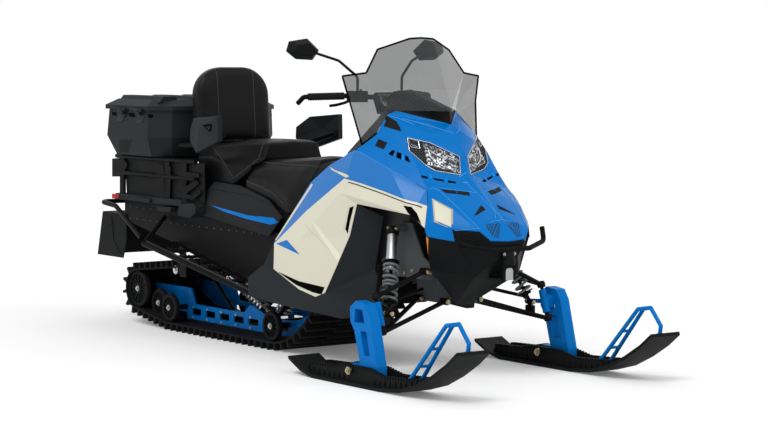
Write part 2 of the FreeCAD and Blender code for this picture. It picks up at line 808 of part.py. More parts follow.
bulge_z = box_z0 + box_tall * bulge_share
outer_tub = hull_of_rings([
    tub_ring(box_x0 + box_foot_in / 2, box_x1 - box_foot_in, box_half - box_foot_in, box_z0),
    tub_ring(box_x0, box_x1, box_half, bulge_z),
    tub_ring(box_x0 + box_foot_in / 4, box_x1, box_half - box_foot_in / 6, box_rim_z),
])
inner_tub = hull_of_rings([
    tub_ring(box_x0 + box_foot_in / 2 + box_wall, box_x1 - box_foot_in - box_wall,
             box_half - box_foot_in - box_wall, box_z0 + box_wall),
    tub_ring(box_x0 + box_wall, box_x1 - box_wall, box_half - box_wall, bulge_z),
    tub_ring(box_x0 + box_foot_in / 4 + box_wall, box_x1 - box_wall,
             box_half - box_foot_in / 6 - box_wall, box_rim_z + overrun),
])
tub = outer_tub.cut(inner_tub)

hinge_y = -(box_half + lid_overhang + hinge_r)
hinge_z = box_rim_z
hinge_long = 46.0
hinge_shares = (0.270, 0.606)
hinge_xs = [box_x0 + box_long * share for share in hinge_shares]
for x in hinge_xs:
    knuckle = Part.makeCylinder(hinge_r, hinge_long, Vector(x, hinge_y, hinge_z), ALONG)
    gusset = facet([Vector(x, hinge_y, hinge_z - hinge_r * 0.5),
                    Vector(x, -box_half + box_foot_in / 6 + box_wall / 2, hinge_z - hinge_r * 0.5),
                    Vector(x, -box_half + box_foot_in / 6, hinge_z - hinge_long),
                    Vector(x, hinge_y - hinge_r * 0.5, hinge_z - hinge_r)]).extrude(ALONG * hinge_long)
    tub = tub.fuse([knuckle, gusset])
    tub = tub.cut(Part.makeCylinder(hinge_pin_r + pin_gap, hinge_long + overrun * 2,
                                    Vector(x - overrun, hinge_y, hinge_z), ALONG))
save("cargo_box", tub)

lid_z0 = box_rim_z + seat_gap
outer_lid = hull_of_rings([
    tub_ring(box_x0 - lid_overhang, box_x1 + lid_overhang, box_half + lid_overhang * 0.4, lid_z0),
    tub_ring(box_x0 - lid_overhang, box_x1 + lid_overhang, box_half + lid_overhang * 0.4,
             lid_z0 + lid_tall * 0.4),
    tub_ring(box_x0 + lid_tall / 2, box_x1 - lid_tall, box_half - lid_tall, lid_z0 + lid_tall),
])
inner_lid = hull_of_rings([
    tub_ring(box_x0 + box_wall, box_x1 - box_wall, box_half - box_wall, lid_z0 - overrun),
    tub_ring(box_x0 + box_wall, box_x1 - box_wall, box_half - box_wall, lid_z0 + lid_tall * 0.3),
    tub_ring(box_x0 + lid_tall, box_x1 - lid_tall * 1.5, box_half - lid_tall * 1.4,
             lid_z0 + lid_tall - box_wall),
])
lid = outer_lid.cut(inner_lid)
side_gap = 6.0
lid_ear = 22.0
for x in hinge_xs:
    for start in (x - side_gap - lid_ear, x + hinge_long + side_gap):
        ear = Part.makeCylinder(hinge_r, lid_ear, Vector(start, hinge_y, hinge_z), ALONG)
        web = block(Vector(start, hinge_y, hinge_z + seat_gap),
                    Vector(start + lid_ear, -box_half + box_wall, hinge_z + hinge_r))
        lid = lid.fuse([ear, web])
    pin = Part.makeCylinder(hinge_pin_r, hinge_long + (side_gap + lid_ear) * 2,
                            Vector(x - side_gap - lid_ear, hinge_y, hinge_z), ALONG)
    lid = lid.fuse(pin)
save("cargo_lid", lid)


# Seats
def seat_body(stations):
    """A saddle through cross sections: half widths and heights at places along the machine."""
    rings = []
    for x, top_half, top_z, side_half, side_z, foot_half, foot_z in stations:
        rings.append([
            Vector(x, -foot_half, foot_z), Vector(x, -side_half, side_z),
            Vector(x, -top_half, top_z), Vector(x, 0, top_z + seat_crown),
            Vector(x, top_half, top_z), Vector(x, side_half, side_z), Vector(x, foot_half, foot_z),
        ])
    return hull_of_rings(rings)


def seat_stations(rear_x, long, top_z, shares):
    """Cross sections from shares of a seat's length, half width and height."""
    tall = top_z - seat_foot_z
    stations = []
    for along, top_half, top, side_half, side, foot_half, foot in shares:
        stations.append((rear_x + long * along, seat_half * top_half, seat_foot_z + tall * top,
                         seat_half * side_half, seat_foot_z + tall * side,
                         seat_half * foot_half, seat_foot_z + tall * foot))
    return stations


seat_crown = 8.0
seat_foot_z = 640.0
rider_top_z = 872.0
passenger_top_z = 958.0
rider_shares = [
    (0.000, 0.70, 0.983, 1.00, 0.612, 1.00, 0.345),
    (0.367, 0.66, 1.000, 1.00, 0.526, 1.00, 0.259),
    (0.796, 0.50, 1.069, 0.95, 0.397, 1.00, 0.000),
    (1.000, 0.42, 1.112, 0.70, 0.698, 0.90, 0.129),
]
passenger_shares = [
    (0.000, 0.86, 0.893, 1.02, 0.748, 1.00, 0.409),
    (0.286, 0.86, 0.931, 1.04, 0.780, 1.00, 0.377),
    (0.633, 0.74, 0.994, 0.98, 0.623, 1.00, 0.346),
    (1.000, 0.62, 1.000, 0.72, 0.774, 0.76, 0.761),
]
saddle_shares = [
    (-0.009, 0.71, 1.000, 1.10, 0.655, 1.10, 0.259),
    (0.367, 0.71, 1.009, 1.10, 0.655, 1.10, 0.259),
]
rider_stations = seat_stations(rider_rear_x, rider_long, rider_top_z, rider_shares)
passenger_stations = seat_stations(passenger_rear_x, passenger_long, passenger_top_z, passenger_shares)
save("rider_seat", seat_body(rider_stations))
saddle = seat_body(seat_stations(rider_rear_x, rider_long, rider_top_z, saddle_shares))
save("passenger_seat", seat_body(passenger_stations).cut(saddle))


# Seat base: the moulded step between the tunnel and the seats
def tunnel_top(x):
    """Height of the tunnel's top at a place ahead of its kink."""
    return tunnel_kink_z - (x - tunnel_kink_x) * (tunnel_kink_z - tunnel_nose_z) / (
        tunnel_nose_x - tunnel_kink_x)


seat_feet = [(station[0], station[-1]) for station in passenger_stations[:-1] + rider_stations]


def seat_foot(x):
    """Height of the underside of the seats at a place along them."""
    for (x0, z0), (x1, z1) in zip(seat_feet, seat_feet[1:]):
        if x <= x1:
            break
    return z0 + (z1 - z0) * (x - x0) / (x1 - x0)


base_half = seat_half - small_round * 2
base_top_share = 0.97
base_front_x = rider_rear_x + rider_long - base_in / 2
base_kink_z = tunnel_kink_z + (tunnel_kink_x - base_rear_x) * (tunnel_rear_z - tunnel_kink_z) / (
    tunnel_kink_x - tunnel_rear_x)
base_places = [(base_rear_x, base_kink_z), (tunnel_kink_x, tunnel_kink_z)]
for x in [station[0] for station in passenger_stations[1:-1] + rider_stations[:-1]] + [base_front_x]:
    base_places.append((x, tunnel_top(x)))
save("seat_base", hull_of_rings([
    [Vector(x, -base_half, z), Vector(x, base_half, z),
     Vector(x, base_half * base_top_share, seat_foot(x) - seat_gap),
     Vector(x, -base_half * base_top_share, seat_foot(x) - seat_gap)]
    for x, z in base_places]))

# Backrest: a tall pad with a rounded top on two brackets
rest_half = 198.0
rest_low_z = 948.0
rest_tall = 368.0
rest_top_z = rest_low_z + rest_tall
rest_thick = 84.0
rest_lean = 30.0
corner_r = rest_half * 0.72
corner_near = corner_r * (1 - math.sqrt(0.5))
outline = [
    Part.LineSegment(Vector(0, -rest_half, rest_low_z), Vector(0, -rest_half, rest_top_z - corner_r)),
    Part.Arc(Vector(0, -rest_half, rest_top_z - corner_r),
             Vector(0, -rest_half + corner_near,
                    rest_top_z - corner_near),
             Vector(0, -rest_half + corner_r, rest_top_z)),
    Part.LineSegment(Vector(0, -rest_half + corner_r, rest_top_z),
                     Vector(0, rest_half - corner_r, rest_top_z)),
    Part.Arc(Vector(0, rest_half - corner_r, rest_top_z),
             Vector(0, rest_half - corner_near,
                    rest_top_z - corner_near),
             Vector(0, rest_half, rest_top_z - corner_r)),
    Part.LineSegment(Vector(0, rest_half, rest_top_z - corner_r), Vector(0, rest_half, rest_low_z)),
    Part.LineSegment(Vector(0, rest_half, rest_low_z), Vector(0, -rest_half, rest_low_z)),
]
rest_face = Part.Face(Part.Wire([edge.toShape() for edge in outline]))
rest_pad = rest_face.extrude(ALONG * rest_thick)
rest_pad = rest_pad.makeFillet(rest_thick * 0.3, [edge for edge in rest_pad.Edges
                                                  if edge.Length > rest_thick * 1.1])
rest_pad.translate(Vector(rest_x - rest_thick / 2, 0, 0))
lean_turn = -math.degrees(math.atan(rest_lean / rest_tall))
rest_pad.rotate(Vector(rest_x, 0, rest_low_z), ACROSS, lean_turn)
save("backrest", rest_pad)

# Backrest mount with the arms that carry the hand guards
guard_y = 362.0
guard_thick = 26.0
guard_front_x = -404.0
guard_long = 316.0
guard_low_z = 902.0
guard_tall = 186.0
arm_z = 930.0
arm_rise = 66.0
arm_in = 8.0             # behind the front edge of the guard
arm_bend_share = 0.38
arm_rear_x = rest_x - rest_thick * 0.8
arm_front_x = guard_front_x - arm_in
arm_tip_z = arm_z + arm_rise
mount_line = [
    Vector(arm_front_x, guard_y - guard_thick - frame_tube_r, arm_tip_z),
    Vector(arm_front_x + (arm_rear_x - arm_front_x) * arm_bend_share, guard_y - guard_thick * 3,
           arm_z + frame_tube_r),
    Vector(arm_rear_x, guard_y - guard_thick * 3, arm_z),
]
mount_line = mount_line + [flipped(point) for point in reversed(mount_line)]
arms = bent_tube(mount_line, frame_tube_r, frame_tube_r * 4)
bracket_thick = 18.0
bracket_wide = 30.0
for side in (-1, 1):
    middle_y = side * rest_half * 0.6
    back_x = rest_x - rest_thick / 2 - seat_gap
    bracket = block(Vector(back_x - bracket_thick, middle_y - bracket_wide / 2,
                           rack_top_z + rack_tube_r + seat_gap),
                    Vector(back_x, middle_y + bracket_wide / 2, rest_low_z + rest_half * 0.6))
    bracket.rotate(Vector(rest_x, 0, rest_low_z), ACROSS, lean_turn)
    bracket = bracket.cut(block(Vector(arm_rear_x - rest_thick, -rest_half, rack_mid_z),
                                Vector(rest_x, rest_half, rack_top_z + rack_tube_r + seat_gap)))
    clip_y = side * (guard_y - guard_thick - frame_tube_r)
    clip_end = side * (guard_y - guard_thick - seat_gap)
    clip = block(Vector(arm_front_x - bracket_wide, min(clip_y, clip_end), arm_tip_z - frame_tube_r),
                 Vector(arm_front_x, max(clip_y, clip_end), arm_tip_z + frame_tube_r))
    arms = arms.fuse([bracket, clip])
save("backrest_mount", arms)

# Hand guards: faceted shields at the ends of the arms
def guard_place(back_share, in_share, up_share):
    """A point of the left guard, from the foot of its front edge."""
    return Vector(guard_front_x - guard_long * back_share, guard_y - guard_thick * in_share,
                  guard_low_z + guard_tall * up_share)


guard_points = {
    "top_front": guard_place(0.013, 0.0, 1.0),
    "low_front": guard_place(0.0, 0.0, 0.355),
    "low_rear": guard_place(0.747, 1.0, 0.0),
    "tip_low": guard_place(1.0, 1.54, 0.312),
    "tip_top": guard_place(0.987, 1.54, 0.613),
    "top_rear": guard_place(0.747, 0.385, 0.903),
    "middle": guard_place(0.494, -0.54, 0.581),
}
guard_ring = ["top_front", "low_front", "low_rear", "tip_low", "tip_top", "top_rear"]
guard = panel(guard_points, [[first, second, "middle"] for first, second in
                             zip(guard_ring, guard_ring[1:] + guard_ring[:1])],
              Vector(0, -guard_thick, 0))
save_both("hand_guards", guard)

# Seat fairings: the grey mouldings below the seats
fairing_y = tunnel_half + moulding * 2 + seat_gap
fairing_top_y = seat_half + moulding * 2.4
fairing_swell = 14.0
fairing_front_x = -30.0
fairing_in = 31.0        # ahead of the seat base's rear edge
fairing_long = fairing_front_x - base_rear_x - fairing_in
fairing_low_z = 536.0
fairing_tall = 228.0


def fairing_place(back_share, y, up_share):
    """A point of the left fairing, from the foot of its front edge."""
    return Vector(fairing_front_x - fairing_long * back_share, y, fairing_low_z + fairing_tall * up_share)


fairing_points = {
    "rear_low": fairing_place(0.950, fairing_y, 0.281),
    "rear_mid": fairing_place(1.000, fairing_y, 0.500),
    "rear_top": fairing_place(0.844, fairing_top_y, 1.0),
    "top_mid": fairing_place(0.525, fairing_top_y, 0.965),
    "top_front": fairing_place(0.170, fairing_top_y + small_round, 0.719),
    "front_mid": fairing_place(0.0, fairing_top_y + small_round * 4, 0.404),
    "front_low": fairing_place(0.087, fairing_y + fairing_swell * 0.6, 0.0),
    "bulge_rear": fairing_place(0.752, fairing_y + fairing_swell, 0.500),
    "bulge_front": fairing_place(0.213, fairing_y + fairing_swell, 0.193),
}
fairing = panel(fairing_points, [
    ["rear_low", "bulge_rear", "rear_mid"],
    ["rear_mid", "bulge_rear", "rear_top"],
    ["rear_top", "bulge_rear", "top_mid"],
    ["bulge_rear", "bulge_front", "top_mid"],
    ["bulge_front", "top_front", "top_mid"],
    ["bulge_front", "front_mid", "top_front"],
    ["front_low", "front_mid", "bulge_front"],
    ["rear_low", "front_low", "bulge_front"],
    ["rear_low", "bulge_front", "bulge_rear"],
], Vector(0, -moulding * 2, 0))
save_both("seat_fairings", fairing)

# Cowl, left half: its named corners
cowl_points = {
    "rear_tip": cowl(0.023, 0.943, 0.521),
    "rear_mid": cowl(0.324, 0.957, 0.812),
    "rear_top": cowl(0.465, 0.957, 0.893),
    "shoulder": cowl(0.675, 0.997, 0.969),
    "top_mid": cowl(0.851, 0.829, 0.889),
    "top_front": cowl(1.018, 0.637, 0.810),
    "front_high": cowl(1.056, 0.706, 0.757),
    "well_front": cowl(1.088, 0.817, 0.654),
    "well_top_front": cowl(1.018, 0.857, 0.704),
    "well_top_rear": cowl(0.680, 0.971, 0.734),
    "well_mid": cowl(0.629, 0.971, 0.594),
    "well_low": cowl(0.547, 0.986, 0.464),
    "foot_front": cowl(0.471, 1.029, 0.329),
    "foot": cowl(0.404, 1.043, 0.305),
    "belly_edge": cowl(0.276, 1.043, 0.327),
    "rear_low": cowl(0.063, 1.029, 0.402),
    "bulge_rear": cowl(0.300, 1.063, 0.560),
    "bulge_top": cowl(0.600, 1.063, 0.780),
}
side_panel = panel(cowl_points, [
    ["rear_tip", "bulge_rear", "rear_mid"],
    ["rear_mid", "bulge_rear", "bulge_top"],
    ["rear_mid", "bulge_top", "rear_top"],
    ["rear_top", "bulge_top", "shoulder"],
    ["shoulder", "bulge_top", "top_mid"],
    ["top_mid", "bulge_top", "well_top_front"],
    ["top_mid", "well_top_front", "top_front"],
    ["top_front", "well_top_front", "front_high"],
    ["front_high", "well_top_front", "well_front"],
    ["bulge_top", "well_top_rear", "well_top_front"],
    ["bulge_top", "well_mid", "well_top_rear"],
    ["bulge_rear", "well_mid", "bulge_top"],
    ["bulge_rear", "well_low", "well_mid"],
    ["bulge_rear", "foot_front", "well_low"],
    ["bulge_rear", "foot", "foot_front"],
    ["bulge_rear", "belly_edge", "foot"],
    ["bulge_rear", "rear_low", "belly_edge"],
    ["bulge_rear", "rear_tip", "rear_low"],
], Vector(0, -moulding, 0))
save_pair("side_panel", side_panel)

# Lower panels: the dark mouldings below, with the wells for the shocks
lower_points = dict(cowl_points)
lower_points.update({
    "toe_top": cowl(0.000, 1.057, 0.420),
    "toe_tip": cowl(-0.120, 1.086, 0.349),
    "toe_low": cowl(-0.112, 1.086, 0.265),
    "keel_rear": cowl(0.058, 1.071, 0.250),
    "keel_mid": cowl(0.280, 1.057, 0.240),
    "keel_front": cowl(0.587, 1.014, 0.226),
    "keel_end": cowl(0.656, 0.971, 0.236),
    "keel_rise": cowl(0.712, 0.857, 0.281),
    "deep_top_rear": cowl(0.740, 0.690, 0.680),
    "deep_low_rear": cowl(0.680, 0.690, 0.440),
    "deep_foot": cowl(0.735, 0.640, 0.330),
})
lower_panel = panel(lower_points, [
    ["toe_tip", "rear_low", "toe_top"],
    ["toe_top", "rear_low", "rear_tip"],
    ["toe_tip", "toe_low", "keel_rear"],
    ["toe_tip", "keel_rear", "rear_low"],
    ["rear_low", "keel_rear", "belly_edge"],
    ["belly_edge", "keel_rear", "keel_mid"],
    ["belly_edge", "keel_mid", "foot"],
    ["foot", "keel_mid", "keel_front"],
    ["foot", "keel_front", "foot_front"],
    ["foot_front", "keel_front", "keel_end"],
    ["foot_front", "keel_end", "keel_rise"],
    ["foot_front", "keel_rise", "deep_foot"],
    ["foot_front", "deep_foot", "deep_low_rear"],
    ["foot_front", "deep_low_rear", "well_low"],
    ["well_low", "deep_low_rear", "well_mid"],
    ["well_mid", "deep_low_rear", "deep_top_rear"],
    ["well_mid", "deep_top_rear", "well_top_rear"],
], Vector(0, -moulding, 0))
save_both("lower_panels", lower_panel)

# Hood, left half, with the opening for the headlamp
panel_in = Vector(0, -moulding - seat_gap, 0)
hood_points = {name: cowl_points[name] + panel_in for name in (
    "shoulder", "top_mid", "top_front", "front_high", "well_front")}
hood_points.update({
    "brow_tip": cowl(0.906, 0.0, 1.082),
    "ridge_mid": cowl(0.998, 0.0, 0.946),
    "ridge_foot": cowl(1.026, 0.0, 0.873),
    "break": cowl(1.214, 0.0, 0.717),
    "nose_mid": cowl(1.253, 0.0, 0.690),
    "nose_low": cowl(1.302, 0.0, 0.602),
    "crown": cowl(0.730, 0.469, 1.138),
    "crown_side": cowl(0.704, 0.563, 1.122),
    "neck": cowl(0.716, 0.743, 1.041),
    "notch": cowl(0.813, 0.657, 1.005),
    "lamp_rear": cowl(0.843, 0.557, 1.027),
    "lamp_top": cowl(0.915, 0.357, 1.006),
    "lamp_front": cowl(0.994, 0.057, 0.946),
    "lamp_low_front": cowl(1.010, 0.074, 0.866),
    "lamp_belly": cowl(0.969, 0.386, 0.885),
    "lamp_low": cowl(0.947, 0.500, 0.912),
    "lamp_low_rear": cowl(0.881, 0.606, 0.971),
    "gem_top": cowl(1.064, 0.640, 0.777),
    "gem_front": cowl(1.154, 0.531, 0.734),
    "gem_low": cowl(1.182, 0.600, 0.654),
    "gem_rear": cowl(1.115, 0.706, 0.683),
    "skirt": cowl(1.098, 0.786, 0.621),
    "corner": cowl(1.195, 0.586, 0.604),
    "sill": cowl(1.273, 0.380, 0.648),
    "chin": cowl(1.300, 0.271, 0.608),
})
hood_facets = [
    ["brow_tip", "crown", "crown_side"],
    ["brow_tip", "crown_side", "lamp_rear"],
    ["brow_tip", "lamp_rear", "lamp_top"],
    ["brow_tip", "lamp_top", "lamp_front"],
    ["brow_tip", "lamp_front", "ridge_mid"],
    ["ridge_mid", "lamp_front", "lamp_low_front"],
    ["ridge_mid", "lamp_low_front", "ridge_foot"],
    ["crown_side", "neck", "lamp_rear"],
    ["neck", "notch", "lamp_rear"],
    ["neck", "shoulder", "notch"],
    ["shoulder", "top_mid", "notch"],
    ["notch", "top_mid", "lamp_low_rear"],
    ["notch", "lamp_low_rear", "lamp_rear"],
    ["top_mid", "top_front", "lamp_low_rear"],
    ["lamp_low_rear", "top_front", "lamp_low"],
    ["lamp_low", "top_front", "lamp_belly"],
    ["lamp_belly", "top_front", "lamp_low_front"],
    ["lamp_low_front", "top_front", "gem_top"],
    ["top_front", "front_high", "gem_top"],
    ["lamp_low_front", "gem_top", "gem_front"],
    ["lamp_low_front", "gem_front", "break"],
    ["lamp_low_front", "break", "ridge_foot"],
    ["front_high", "well_front", "gem_rear"],
    ["front_high", "gem_rear", "gem_top"],
    ["gem_top", "gem_rear", "gem_low"],
    ["gem_top", "gem_low", "gem_front"],
    ["well_front", "skirt", "gem_rear"],
    ["skirt", "corner", "gem_rear"],
    ["gem_rear", "corner", "gem_low"],
    ["gem_front", "gem_low", "sill"],
    ["gem_front", "sill", "break"],
    ["break", "sill", "chin"],
    ["break", "chin", "nose_mid"],
    ["nose_mid", "chin", "nose_low"],
]


def both_halves(points, facets):
    """The left half's points and facets with their mirror images."""
    whole = dict(points)
    for name, point in points.items():
        if point.y > small_round:
            whole[name + "_right"] = flipped(point)
    turned = []
    for names in facets:
        turned.append([name + "_right" if name + "_right" in whole else name
                       for name in reversed(names)])
    return whole, facets + turned


hood_in = Vector(-moulding, 0, -moulding)
whole_points, whole_facets = both_halves(hood_points, hood_facets)
save("hood", panel(whole_points, whole_facets, hood_in))

# Headlamps: the lenses in the hood's openings
lamp_facets = [
    ["lamp_top", "lamp_rear", "lamp_low_rear"],
    ["lamp_top", "lamp_low_rear", "lamp_low"],
    ["lamp_top", "lamp_low", "lamp_belly"],
    ["lamp_top", "lamp_belly", "lamp_low_front"],
    ["lamp_top", "lamp_low_front", "lamp_front"],
]
lamp = panel(hood_points, lamp_facets, hood_in * 4)
save_both("headlamps", lamp)

# Nose: the dark moulding below the hood, as a keel between the wells
lip_shift = hood_in - UP * (seat_gap * 2)
nose_points = {"lip_" + name: hood_points[name] + lip_shift for name in (
    "skirt", "corner", "gem_low", "sill", "chin", "nose_low")}
nose_points.update({
    "shelf": cowl(1.290, 0.170, 0.530),
    "shelf_middle": cowl(1.290, 0.0, 0.530),
    "jaw": cowl(1.225, 0.343, 0.450),
    "jaw_middle": cowl(1.190, 0.0, 0.430),
    "throat": cowl(1.003, 0.114, 0.308),
    "throat_middle": cowl(1.003, 0.0, 0.300),
    "cheek": cowl(1.060, 0.650, 0.470),
})
nose_facets = [
    ["lip_skirt", "cheek", "lip_corner"],
    ["lip_corner", "cheek", "jaw"],
    ["lip_corner", "jaw", "lip_gem_low"],
    ["lip_gem_low", "jaw", "shelf"],
    ["lip_gem_low", "shelf", "lip_sill"],
    ["lip_sill", "shelf", "lip_chin"],
    ["lip_chin", "shelf", "shelf_middle"],
    ["lip_chin", "shelf_middle", "lip_nose_low"],
    ["shelf", "jaw", "shelf_middle"],
    ["shelf_middle", "jaw", "jaw_middle"],
    ["jaw", "throat", "jaw_middle"],
    ["jaw_middle", "throat", "throat_middle"],
    ["cheek", "throat", "jaw"],
]
nose_all, nose_sides = both_halves(nose_points, nose_facets)
save("nose_panel", panel(nose_all, nose_sides, Vector(-moulding, 0, moulding * 0.4)))

# Console: the dark hump between hood, screen and handlebar
console_back = Vector(-moulding - seat_gap * 3, 0, 0)
console_points = {
    "tip": hood_points["brow_tip"] + console_back,
    "peak": cowl(0.895, 0.0, 1.135),
    "top": cowl(0.600, 0.171, 1.216),
    "top_middle": cowl(0.610, 0.0, 1.228),
    "flank": cowl(0.655, 0.400, 1.166),
    "side": hood_points["crown"] + console_back,
    "brow": hood_points["crown_side"] + console_back,
    "neck": hood_points["neck"] + console_back,
    "shoulder": hood_points["shoulder"] + console_back,
    "rear_low": cowl(0.540, 0.830, 0.950),
    "rear_mid": cowl(0.560, 0.400, 1.100),
    "rear_middle": cowl(0.545, 0.0, 1.130),
}
console_facets = [
    ["tip", "side", "flank"],
    ["tip", "flank", "top"],
    ["tip", "top", "peak"],
    ["peak", "top", "top_middle"],
    ["side", "brow", "flank"],
    ["flank", "brow", "rear_mid"],
    ["top", "flank", "rear_mid"],
    ["brow", "neck", "rear_mid"],
    ["neck", "rear_low", "rear_mid"],
    ["neck", "shoulder", "rear_low"],
    ["top", "rear_mid", "rear_middle"],
    ["top", "rear_middle", "top_middle"],
]
console_all, console_sides = both_halves(console_points, console_facets)
save("console", panel(console_all, console_sides, UP * -moulding))

# Tank cover: the dark saddle between the side panels
tank_long = 420.0
tank_shares = [
    (0.000, 0.686, 0.643, 0.000, 0.700, 0.876),
    (0.381, 0.749, 0.749, 0.000, 0.740, 0.900),
    (0.762, 0.829, 0.814, 0.000, 0.830, 0.930),
    (1.000, 0.829, 0.800, 0.110, 0.880, 0.955),
]
tank_rings = []
for along, foot_out, side_out, foot_up, side_up, top_up in tank_shares:
    x = tank_rear_x + tank_long * along
    foot = cowl_half * foot_out
    half = cowl_half * side_out
    foot_z = tunnel_top(min(x, tunnel_nose_x)) + cowl_tall * foot_up
    side_z = cowl_tall * side_up
    top_z = cowl_tall * top_up
    tank_rings.append([Vector(x, -foot, foot_z), Vector(x, -half, side_z), Vector(x, -half / 2, top_z),
                       Vector(x, half / 2, top_z), Vector(x, half, side_z), Vector(x, foot, foot_z)])
save("tank_cover", hull_of_rings(tank_rings))

# Engine: a plain block at its real place
engine_rear_x = 560.0
engine_long = 300.0
engine_half = 190.0
engine_low_z = 446.0
engine_tall = 354.0
engine_top_z = engine_low_z + engine_tall
save("engine_block", block(Vector(engine_rear_x, -engine_half, engine_low_z),
                           Vector(engine_rear_x + engine_long, engine_half, engine_top_z)))

# Front frame: the bulkhead between the wells, its towers and the pivots of the wishbones
frame_half = 200.0
frame_thick = 10.0
shelf_thick = 22.0
keel_rear = 30.0         # behind the lower wishbones' rear pivots
keel_front = 15.0
shock_top = Vector(shock_top_x, shock_top_y, shock_top_z)
tower_foot_z = upper_pivot_z + arm_tube_r * 2.8
tower_waist_z = upper_pivot_z + arm_tube_r * 5.8
tower_outline = [
    (upper_rear_x - arm_tube_r * 2.2, upper_pivot_z - arm_tube_r * 3.2),
    (upper_front_x + arm_tube_r * 2, upper_pivot_z - arm_tube_r * 1.7),
    (upper_front_x + arm_tube_r * 2, tower_foot_z),
    (upper_front_x - arm_tube_r * 3.5, tower_waist_z),
    (shock_top_x + shock_body_r * 2.5, shock_top_z + shock_body_r),
    (shock_top_x - shock_body_r, shock_top_z + shock_body_r),
    (upper_rear_x + arm_tube_r * 4.8, tower_waist_z),
    (upper_rear_x - arm_tube_r * 2.2, tower_foot_z),
]
tower = side_prism(tower_outline, frame_half, frame_half + frame_thick)
tower = tower.fuse(block(Vector(shock_top_x - shock_eye_r * 2, frame_half, shock_top_z - shock_eye_r),
                         Vector(shock_top_x + shock_eye_r * 2, shock_top_y - shock_eye_r - small_round,
                                shock_top_z + shock_eye_r)))
keel_x0 = lower_rear_x - keel_rear
keel_x1 = lower_front_x + keel_front
keel_low_z = lower_pivot_z - arm_tube_r * 1.2
shelf_low_z = engine_low_z - shelf_thick
pivot_out = arm_tube_r * 1.5
keel = side_prism([(keel_x0, keel_low_z), (keel_x1, keel_low_z), (keel_x1, engine_low_z), (keel_x0, shelf_low_z)],
                  lower_pivot_y - pivot_out - frame_thick, lower_pivot_y - pivot_out)
shelf = block(Vector(keel_x0, -frame_half - frame_thick, shelf_low_z),
              Vector(keel_x1 + frame_thick, frame_half + frame_thick, engine_low_z))
cradle_rear_x = tunnel_front_x + seat_gap
cradle_low_z = tunnel_nose_z - (tunnel_front_x - tunnel_nose_x)
cradle = side_prism([
    (cradle_rear_x, cradle_low_z - frame_thick * 6), (cradle_rear_x, cradle_low_z),
    (engine_rear_x, engine_low_z), (keel_x0 + frame_thick, engine_low_z),
    (keel_x0 + frame_thick, shelf_low_z), (engine_rear_x + frame_thick * 4, shelf_low_z - frame_thick * 1.4),
], engine_half - frame_thick, engine_half)
front_frame = joined([tower, mirrored(tower), keel, mirrored(keel), shelf, cradle, mirrored(cradle)])
save("front_frame", front_frame)

# Kingpin axis, left side
kingpin_top = Vector(kingpin_top_x, kingpin_y, kingpin_top_z)
kingpin_low = Vector(kingpin_low_x, kingpin_y, kingpin_low_z)
kingpin_way = (kingpin_top - kingpin_low).normalize()
kingpin_span = (kingpin_top - kingpin_low).Length


def wishbone(pivots, ball, above):
    """Two tubes from their pivots to an eye on the kingpin's axis."""
    pieces = []
    eye_foot = ball if above else ball - kingpin_way * kingpin_eye_tall
    eye = Part.makeCylinder(kingpin_eye_r, kingpin_eye_tall, eye_foot, kingpin_way)
    middle = eye_foot + kingpin_way * (kingpin_eye_tall * (0.5 if above else 0.4))
    for pivot in pivots:
        pieces.append(bar(pivot, middle, arm_tube_r))
        pieces.append(Part.makeCylinder(arm_tube_r * 1.5, arm_tube_r * 4,
                                        pivot - ALONG * arm_tube_r * 2, ALONG))
    return joined([eye] + pieces)


kingpin = Part.makeCylinder(kingpin_r, kingpin_span + kingpin_eye_tall * 2,
                            kingpin_low - kingpin_way * kingpin_eye_tall, kingpin_way)
upper_pivot_y = frame_half + frame_thick + pivot_out
upper_arm = wishbone([Vector(upper_front_x, upper_pivot_y, upper_pivot_z),
                      Vector(upper_rear_x, upper_pivot_y, upper_pivot_z)],
                     kingpin_top, True)
lower_arm = wishbone([Vector(lower_front_x, lower_pivot_y, lower_pivot_z),
                      Vector(lower_rear_x, lower_pivot_y, lower_pivot_z)], kingpin_low, False)
shock_low = Vector(lower_front_x, lower_pivot_y + (kingpin_y - lower_pivot_y) * shock_out_share, shock_low_z)
shock_seat = block(shock_low - Vector(arm_tube_r * 2.2, arm_tube_r, arm_tube_r * 4.6),
                   shock_low + Vector(arm_tube_r * 2.2, arm_tube_r, -arm_tube_r * 1.35))
lower_arm = joined([lower_arm, shock_seat]).cut(kingpin)
save_both("upper_arms", joined([upper_arm, kingpin]))
save_both("lower_arms", lower_arm)
save_both("front_shocks", coil_over(shock_top, shock_low, shock_body_r, spring_r, shock_eye_r))

# Spindle: the blue leg outside the wishbones, its kingpin tube and its steering arm
leg_in = 20.0            # faces of the leg, from the middle of its ski
leg_out = 32.0
leg_y0 = ski_y - leg_in
leg_y1 = ski_y + leg_out
leg_ahead = 94.0         # front of the leg's foot, ahead of the kingpin
leg_long = 193.0
leg_front_x = kingpin_low_x + leg_ahead
leg_shares = [(0.0, 0.25), (0.057, 0.364), (0.295, 0.852), (0.446, 0.977), (0.782, 1.0),
              (1.0, 0.915), (0.979, 0.744), (0.834, 0.642), (0.617, 0.25)]
upper_window_shares = [(0.834, 0.744), (0.461, 0.744), (0.554, 0.903), (0.813, 0.903)]
lower_window_shares = [(0.617, 0.648), (0.399, 0.648), (0.254, 0.364), (0.461, 0.364)]


def leg_plate(shares, y0, y1):
    """A plate in the plane of the leg, from the front of its foot and up to the kingpin's top."""
    return side_prism([(leg_front_x - leg_long * back, kingpin_top_z * up) for back, up in shares], y0, y1)


